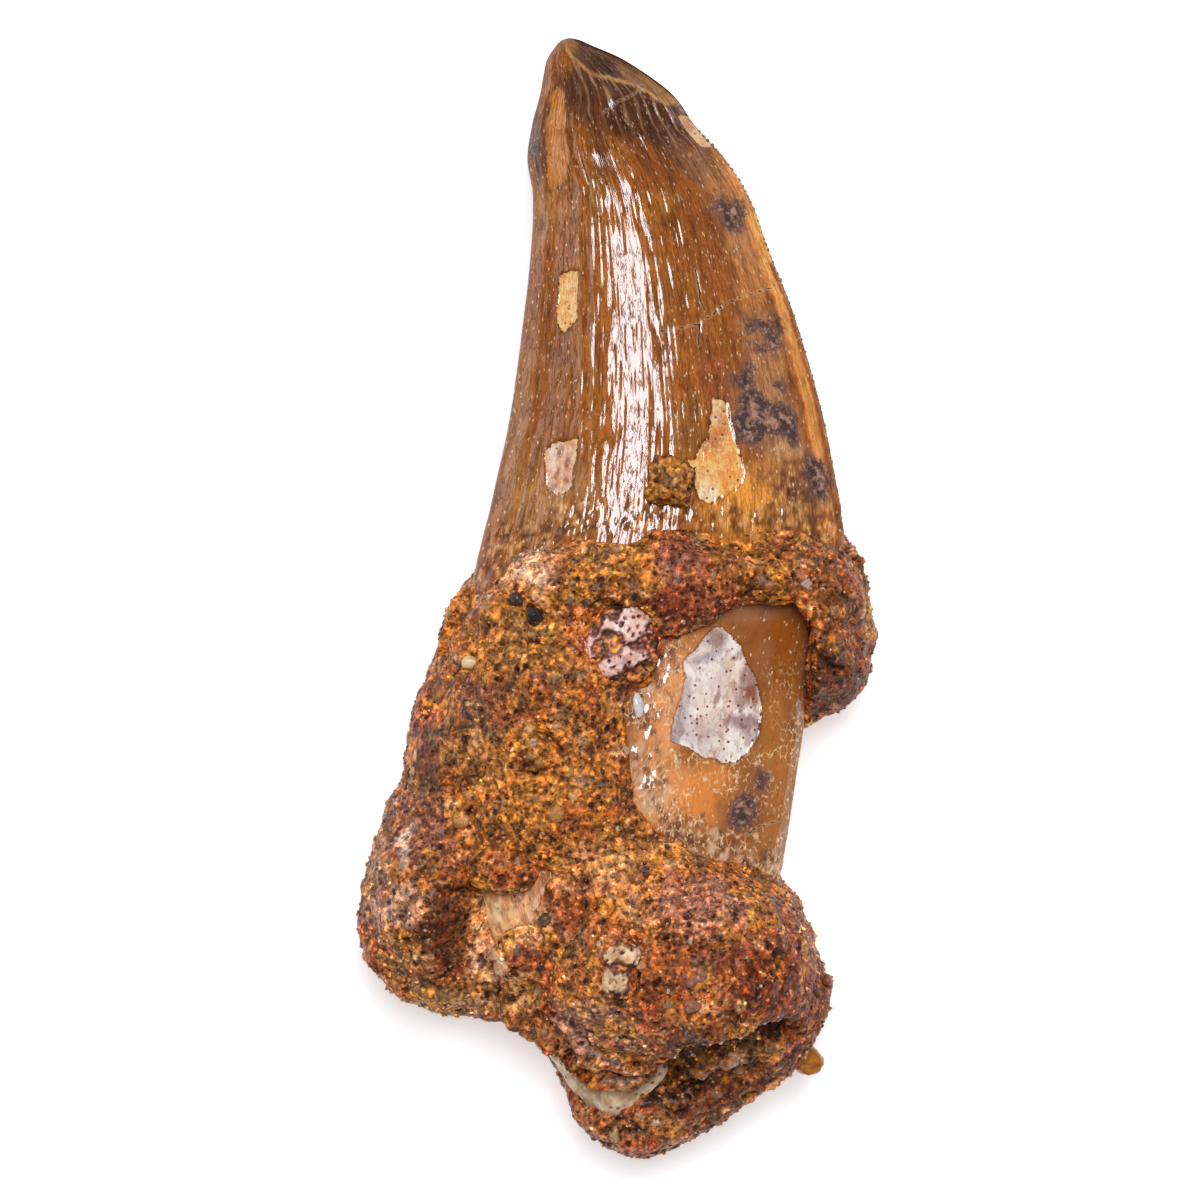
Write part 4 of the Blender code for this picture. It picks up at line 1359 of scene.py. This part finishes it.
def join_grains(name, centres, sizes, colours, finish, slot, chance):
    """Many grains as one mesh, each turned its own way and a little out of round."""
    shape, faces = grain_shape()
    count, corners = len(centres), len(shape)
    turn = turns(chance.random((count, 3)))
    grains = shape[None] * (1 + 0.35 * (2 * chance.random((count, corners, 1)) - 1))
    grains = grains * sizes[:, None, :]
    grains = np.einsum("nij,nkj->nki", turn, grains) + centres[:, None]
    grains[..., 2] = np.maximum(grains[..., 2], 0)
    all_faces = (faces[None] + corners * np.arange(count)[:, None, None]).reshape(-1, 3)
    mesh = bpy.data.meshes.new(name)
    mesh.vertices.add(count * corners)
    mesh.vertices.foreach_set("co", (grains * MM).astype(np.float32).ravel())
    mesh.loops.add(len(all_faces) * 3)
    mesh.loops.foreach_set("vertex_index", all_faces.astype(np.int32).ravel())
    mesh.polygons.add(len(all_faces))
    mesh.polygons.foreach_set("loop_start", np.arange(0, len(all_faces) * 3, 3, dtype=np.int32))
    mesh.update(calc_edges=True)
    obj = linked(name, mesh)
    note_colours(obj, "tint", np.repeat(colours, corners, axis=0))
    finish_piece(obj, finish, slot)
    return obj


def grain_colours(centres, chance):
    """Each grain's colour: the stain or painted shadow where it lies, with odd pale, dark and red grains.
    """
    count = len(centres)
    colours = stone_colours(centres)
    bright = np.exp(0.42 * chance.standard_normal(count) + 0.12)
    colours = colours * bright[:, None]
    kind = chance.random(count)
    colours = blend(colours, (0.75, 0.5, 0.3), 0.8 * (kind < 0.06))
    colours = blend(colours, (0.045, 0.02, 0.015), 0.85 * (kind > 0.93))
    colours = blend(colours, (0.5, 0.24, 0.05), 0.6 * ((kind > 0.1) & (kind < 0.2)))
    return colours


def make_grains(bands, tree, finish):
    """Sand grains all over the stone, thinner where it is smooth."""
    chance = np.random.default_rng(7)
    points = np.concatenate([points_of(band) for band in bands])
    normals = np.concatenate([normals_of(band) for band in bands])
    clearance, _ = tooth_clearance(tree, points)
    keep = GRAIN_SHARE * (1 - 0.9 * smoothness(points)) * (clearance > 0.25) * (points[:, 2] > 0.4)
    chosen = chance.random(len(points)) < keep
    points, normals = points[chosen], normals[chosen]
    count = len(points)
    radius = GRAIN_RADIUS * np.exp(0.36 * chance.standard_normal(count))
    radius = np.clip(radius, *GRAIN_LIMITS)
    sizes = radius[:, None] * (1 + 0.25 * (2 * chance.random((count, 3)) - 1))
    lift = radius * (0.7 * chance.random(count) - 0.55)
    centres = points + normals * lift[:, None]
    colours = grain_colours(centres, chance)
    order = np.argsort(centres[:, 1])
    for number, part in enumerate(np.array_split(order, GRAIN_PIECES)):
        name = "sand_grains_" + str(number + 1)
        join_grains(name, centres[part], sizes[part], colours[part], finish, "sandstone", chance)


# Larger crumbs: place in pixels, radius in millimetres and colour
CRUMBS = (
    (532, 597, 0.45, 0.78, 0.5, 0.28), (585, 601, 0.4, 0.12, 0.05, 0.03), (598, 607, 0.3, 0.6, 0.3, 0.08),
    (573, 599, 0.3, 0.7, 0.45, 0.25), (565, 622, 0.3, 0.2, 0.1, 0.07), (528, 728, 0.45, 0.72, 0.5, 0.32),
    (530, 740, 0.4, 0.7, 0.46, 0.28), (557, 731, 0.6, 0.55, 0.32, 0.17),
    (530, 760, 0.75, 0.46, 0.22, 0.05), (541, 764, 0.5, 0.5, 0.25, 0.06), (629, 751, 0.4, 0.5, 0.4, 0.32),
    (566, 773, 0.5, 0.5, 0.26, 0.08), (569, 798, 0.5, 0.7, 0.4, 0.15), (502, 810, 0.5, 0.6, 0.33, 0.1),
    (468, 798, 0.5, 0.66, 0.36, 0.12), (461, 826, 0.75, 0.62, 0.34, 0.13),
    (560, 816, 0.75, 0.6, 0.3, 0.08), (575, 850, 0.5, 0.5, 0.25, 0.1), (542, 922, 0.65, 0.14, 0.08, 0.03),
    (492, 955, 0.8, 0.8, 0.52, 0.34), (498, 968, 0.7, 0.76, 0.46, 0.3), (521, 953, 0.6, 0.28, 0.16, 0.11),
    (489, 989, 0.6, 0.5, 0.28, 0.08), (476, 1000, 0.5, 0.6, 0.36, 0.16), (632, 955, 0.6, 0.7, 0.4, 0.2),
    (640, 968, 0.5, 0.62, 0.34, 0.16), (667, 1005, 0.7, 0.42, 0.22, 0.06),
    (696, 976, 1.1, 0.36, 0.14, 0.09), (691, 1006, 0.9, 0.4, 0.18, 0.12),
    (735, 1058, 0.8, 0.5, 0.26, 0.15), (741, 1070, 0.6, 0.46, 0.22, 0.1),
    (655, 1126, 0.5, 0.7, 0.5, 0.36), (612, 1132, 0.6, 0.52, 0.34, 0.2), (640, 1118, 0.4, 0.6, 0.4, 0.28),
    (718, 1095, 0.6, 0.32, 0.13, 0.05), (700, 1076, 0.7, 0.34, 0.15, 0.04),
    (820, 930, 0.6, 0.26, 0.08, 0.03), (826, 955, 0.6, 0.26, 0.08, 0.03), (829, 985, 0.7, 0.3, 0.1, 0.04),
    (824, 1015, 0.7, 0.26, 0.08, 0.03), (812, 1040, 0.6, 0.3, 0.12, 0.04),
    (808, 905, 0.6, 0.34, 0.14, 0.04), (410, 772, 0.45, 0.6, 0.36, 0.2), (798, 563, 0.5, 0.5, 0.22, 0.03),
    (752, 594, 0.35, 0.5, 0.2, 0.03), (741, 588, 0.35, 0.46, 0.2, 0.04), (700, 566, 0.4, 0.5, 0.22, 0.14),
    (716, 575, 0.4, 0.46, 0.24, 0.14), (775, 500, 0.4, 0.6, 0.4, 0.22),
    (790, 498, 0.45, 0.72, 0.55, 0.36), (798, 512, 0.45, 0.66, 0.46, 0.28),
    (783, 513, 0.35, 0.4, 0.25, 0.12), (493, 506, 0.35, 0.3, 0.14, 0.05),
    (808, 586, 0.5, 0.5, 0.36, 0.34), (850, 640, 0.5, 0.34, 0.15, 0.04), (835, 610, 0.5, 0.4, 0.18, 0.05),
)


def make_crumbs(bands, finish):
    """Larger crumbs set in the crust, each where the photograph shows it."""
    chance = np.random.default_rng(11)
    points = np.concatenate([points_of(band) for band in bands])
    places = in_photo(points)
    meshes = []
    for x, y, radius, *colour in CRUMBS:
        near = np.hypot(*(places - (x, y)).T) < 4
        if not near.any():
            continue
        top = points[near][np.argmax(points[near][:, 2])]
        crumb = added(bpy.ops.mesh.primitive_ico_sphere_add, subdivisions=3, radius=MM)
        shape = points_of(crumb)
        stretch = 0.8 + 0.5 * chance.random(3)
        shape = (shape * stretch) @ turns(chance.random((1, 3)))[0]
        shape *= (1 + 0.5 * rough(shape + 10 * chance.random(3), 0.8, 3, 131))[:, None]
        move_points(crumb, 0.85 * radius * shape + top - (0, 0, 0.45 * radius))
        note_colours(crumb, "tint", np.tile(colour, (len(shape), 1)) * CRUMB_GAIN)
        meshes.append(crumb)
    bpy.ops.object.select_all(action="DESELECT")
    for crumb in meshes:
        crumb.select_set(True)
    bpy.context.view_layer.objects.active = meshes[0]
    bpy.ops.object.join()
    meshes[0].name = "crumbs"
    finish_piece(meshes[0], finish, "sandstone")


# Embedded pieces


def make_pebble(node, slot, finish, voxel, lumpiness, lump_size, sunk=0.0):
    """One bit held by the stone, refined from its plain solid."""
    obj = plain_solid("detailed_" + node, node)
    refine(obj, voxel, 6)
    points = points_of(obj)
    height = lumpiness * rough(points, lump_size, 3, 101)
    move_points(obj, points + normals_of(obj) * height[:, None])
    if sunk:
        move_points(obj, points_of(obj) - (0, 0, sunk))
    finish_piece(obj, finish, slot, node)
    return obj


UPPER_LOBE = (
    (581, 652), (584, 642), (591, 632), (604, 624), (617, 613), (629, 604), (641, 609),
    (650, 622), (653, 634), (641, 640), (629, 646), (618, 640), (611, 631), (600, 632),
    (595, 639), (593, 650), (587, 658),
)
LOWER_LOBE = (
    (592, 676), (595, 666), (605, 657), (617, 652), (637, 647), (644, 657), (637, 666),
    (621, 671), (603, 681),
)


# The low bone fragment's two lumps
NORTH_LUMP = (
    (602, 960), (604, 948), (616, 942), (628, 944), (641, 948), (645, 960), (636, 966),
    (625, 962), (612, 966),
)
SOUTH_LUMP = (
    (597, 977), (606, 969), (618, 970), (628, 975), (628, 986), (618, 993), (605, 992),
    (598, 985),
)


# Bones: node, slot, outlines, and pale and deep colours
BONES = (
    ("bone_fragment", "porous_bone", (UPPER_LOBE, LOWER_LOBE),
     (1.05, 0.78, 0.68), (0.85, 0.42, 0.32)),
    ("lower_bone_fragment", "cream_bone", (NORTH_LUMP, SOUTH_LUMP),
     (1.0, 0.7, 0.42), (0.66, 0.36, 0.17)),
)
# Pebble stones: two colours and roughness
PEBBLE_STONES = {
    "milky_quartz": ((0.78, 0.76, 0.75), (0.6, 0.5, 0.42), 0.12),
    "black_stone": ((0.012, 0.01, 0.012), (0.04, 0.03, 0.03), 0.3),
    "brown_stone": ((0.07, 0.035, 0.025), (0.03, 0.015, 0.01), 0.35),
    "cream_stone": ((0.85, 0.62, 0.32), (0.6, 0.35, 0.12), 0.35),
    "amber_stone": ((0.5, 0.17, 0.012), (0.24, 0.07, 0.01), 0.2),
    "ochre_stone": ((0.42, 0.19, 0.05), (0.22, 0.09, 0.03), 0.3),
}
# Pebbles: node, stone, voxel, how lumpy, how large the lumps are and how far sunk
PEBBLES = (
    ("quartz_chip", "milky_quartz", 0.06, 0.06, 0.7, 0.0),
    ("black_pebble", "black_stone", 0.06, 0.16, 0.8, 0.4),
    ("brown_pebble", "brown_stone", 0.06, 0.16, 0.8, 0.4),
    ("cream_pebble", "cream_stone", 0.06, 0.08, 0.7, 0.0),
    ("amber_pebble", "amber_stone", 0.08, 0.12, 1.2, 0.0),
    ("ochre_pebble", "ochre_stone", 0.08, 0.1, 0.9, 0.0),
    ("rim_pebble", "ochre_stone", 0.06, 0.08, 0.7, 0.0),
)


def make_bone(node, slot, finish, outlines, pale, deep):
    """Porous bone that shows as lumps with sunken, sandy valleys between and round them."""
    obj = make_pebble(node, slot, finish, 0.1, 0.15, 1.2)
    points = points_of(obj)
    normals = normals_of(obj)
    places = in_photo(points)
    shaken = places + shake(points, 6, 0.9, 3, 121)
    depth = deepest(shaken, outlines)
    pore, chance = nearest_dot(points + 0.12 * rough(points, 0.4, 2, 126)[:, None], 0.6, 123)
    pores = (1 - step_up(0.2, 0.4, pore)) * (chance < 0.75)
    lobe = step_up(-2, 3, depth)
    _, gritty, crevice_shade = stone_relief(points)
    points[:, 2] -= 0.3 + 1.2 * (1 - lobe) * step_up(0, 0.5, normals[:, 2])
    points += normals * (1.5 * gritty * (1 - lobe) - 0.4 * pores * lobe)[:, None]
    points += normals * (0.2 * rough(points, 0.9, 3, 124))[:, None]
    move_points(obj, points)
    colours = blend(pale, deep, 0.5 + 0.6 * rough(points, 0.9, 3, 125))
    colours = blend(colours, (0.09, 0.025, 0.02), np.clip(1.1 * pores, 0, 1))
    # Painted shade: round the lobes the ground is darkened in its crevices, and painted dark brown where
    # it drops away next to the lobes.
    shade = np.exp(-2.2 * np.clip(rough(points, 0.4, 3, 127) + crevice_shade, -0.4, 1))
    round_it = blend((0.16, 0.05, 0.035), stone_colours(points) * shade[:, None], step_up(-1, -4, depth))
    note_colours(obj, "tint", blend(colours, round_it, 1 - lobe))


def bone_finish(name):
    """Bone with fine dark flecks."""
    paint = Finish(name, 0.45, shine=0.3, coat=0.3, coat_roughness=0.15)
    fine = paint.cloud(paint.start(), 3.5, 4.0, 0.7)
    paint.tone((0.6, 0.3, 0.25), fine, 0.5, 0.68, 0.0, 0.8)
    return paint.done(Normal=paint.raised(fine, 0.12, 0.8))


def pebble_finish(name, colour, dark, roughness):
    """A worn pebble's stone."""
    paint = Finish(name, roughness, coat=0.4, coat_roughness=0.15)
    here = paint.here()
    veins = paint.cloud(here, 1.6, 4.0, 0.65)
    paint.colour = paint.mix(colour, dark, paint.fit(veins, 0.42, 0.68))
    return paint.done(Normal=paint.raised(paint.cloud(here, 5.0, 3.0, 0.6), 0.06, 0.6))


def make_nodule(finish):
    """The uneven nodule of cemented sand on the crown."""
    nodule = make_pebble("crown_nodule", "sand_nodule", finish, 0.1, 0.12, 0.9)
    points = points_of(nodule)
    away = points[:, :2] - points[:, :2].mean(axis=0)
    heading = np.arctan2(away[:, 1], away[:, 0])
    uneven = 1.04 - 0.1 * np.cos(4 * heading + 0.6) + 0.14 * rough(points, 2.4, 2, 131)
    points[:, :2] += away * (uneven - 1)[:, None]
    points[:, 2] -= 0.5 * step_up(0.2, 1.0, lumps(points * (1, 1, 0), 1.8, 132))
    _, fine, crevice_shade = stone_relief(points)
    move_points(nodule, points + normals_of(nodule) * (1.3 * fine - 0.1)[:, None])
    # Painted shade: the stone colours are darkened in the crevices.
    note_colours(nodule, "tint", stone_colours(points) * (1 - 0.6 * crevice_shade)[:, None])


def make_small_pieces(stone_paint):
    """Everything that the stone holds, and the nodule on the crown."""
    for node, slot, outlines, pale, deep in BONES:
        make_bone(node, slot, bone_finish(slot), outlines, pale, deep)
    stones = {slot: pebble_finish(slot, *look) for slot, look in PEBBLE_STONES.items()}
    for node, slot, *shape in PEBBLES:
        make_pebble(node, slot, stones[slot], *shape)
    make_nodule(stone_paint)


# Studio


def make_camera():
    """Looks straight down, at the photograph's framing."""
    camera = linked("camera", bpy.data.cameras.new("camera"))
    x, y = CAMERA_OVER
    camera.location = (x * MM, y * MM, (VIEW_HEIGHT + CAMERA_DISTANCE) * MM)
    camera.data.sensor_width = SENSOR
    camera.data.lens = SENSOR * CAMERA_DISTANCE / VIEW_WIDTH
    camera.data.clip_end = 10.0
    bpy.context.scene.camera = camera


def make_light(name, direction, distance, width, length, power, colour):
    """A soft rectangular light that faces the fossil."""
    data = bpy.data.lights.new(name, "AREA")
    data.shape = "RECTANGLE"
    data.size = width * MM
    data.size_y = length * MM
    data.energy = power
    data.color = colour
    light = linked(name, data)
    away = Vector(direction).normalized()
    light.location = away * distance * MM + Vector((0, 0, VIEW_HEIGHT * MM))
    light.rotation_euler = away.to_track_quat("Z", "Y").to_euler()


def make_studio():
    """A white floor, soft surroundings and the lights."""
    floor = added(bpy.ops.mesh.primitive_plane_add, size=FLOOR_SIZE)
    floor.name = "floor"
    paint = Finish("white_floor", 0.9)
    paint.colour = FLOOR_COLOUR
    glow = {"Emission Color": (1.0, 1.0, 1.0), "Emission Strength": FLOOR_GLOW}
    floor.data.materials.append(paint.done(**glow))
    world = bpy.data.worlds.new("studio")
    bpy.context.scene.world = world
    world.use_nodes = True
    surround = world.node_tree.nodes["Background"]
    surround.inputs["Color"].default_value = (1, 1, 1, 1)
    seen = world.node_tree.nodes.new("ShaderNodeLightPath").outputs["Is Camera Ray"]
    strength = world.node_tree.nodes.new("ShaderNodeMapRange")
    strength.inputs["To Min"].default_value = SURROUND_LIGHT
    strength.inputs["To Max"].default_value = SURROUND_SEEN
    world.node_tree.links.new(seen, strength.inputs["Value"])
    world.node_tree.links.new(strength.outputs["Result"], surround.inputs["Strength"])
    for light in LIGHTS:
        make_light(*light)
    bpy.context.scene.view_settings.view_transform = "Standard"


def build():
    """Makes every piece, then the studio."""
    tree = tooth_tree()
    enamel = tooth_finish("fossil_enamel", 1.0, 0.3, False)
    dentine = tooth_finish("fossil_root", 0.15, 0.32, True)
    make_crown(enamel)
    make_root(dentine)
    stone_paint = stone_finish("iron_stained_sandstone", 0.15, 0.12)
    grain_paint = stone_finish("sand_grain", 0.3, 0.5)
    bands = make_sandstone(stone_paint, tree)
    make_grains(bands, tree, grain_paint)
    crumb_paint = crumb_finish()
    make_crumbs(bands, crumb_paint)
    make_serrations(crumb_paint)
    make_small_pieces(stone_paint)
    make_camera()
    make_studio()


build()
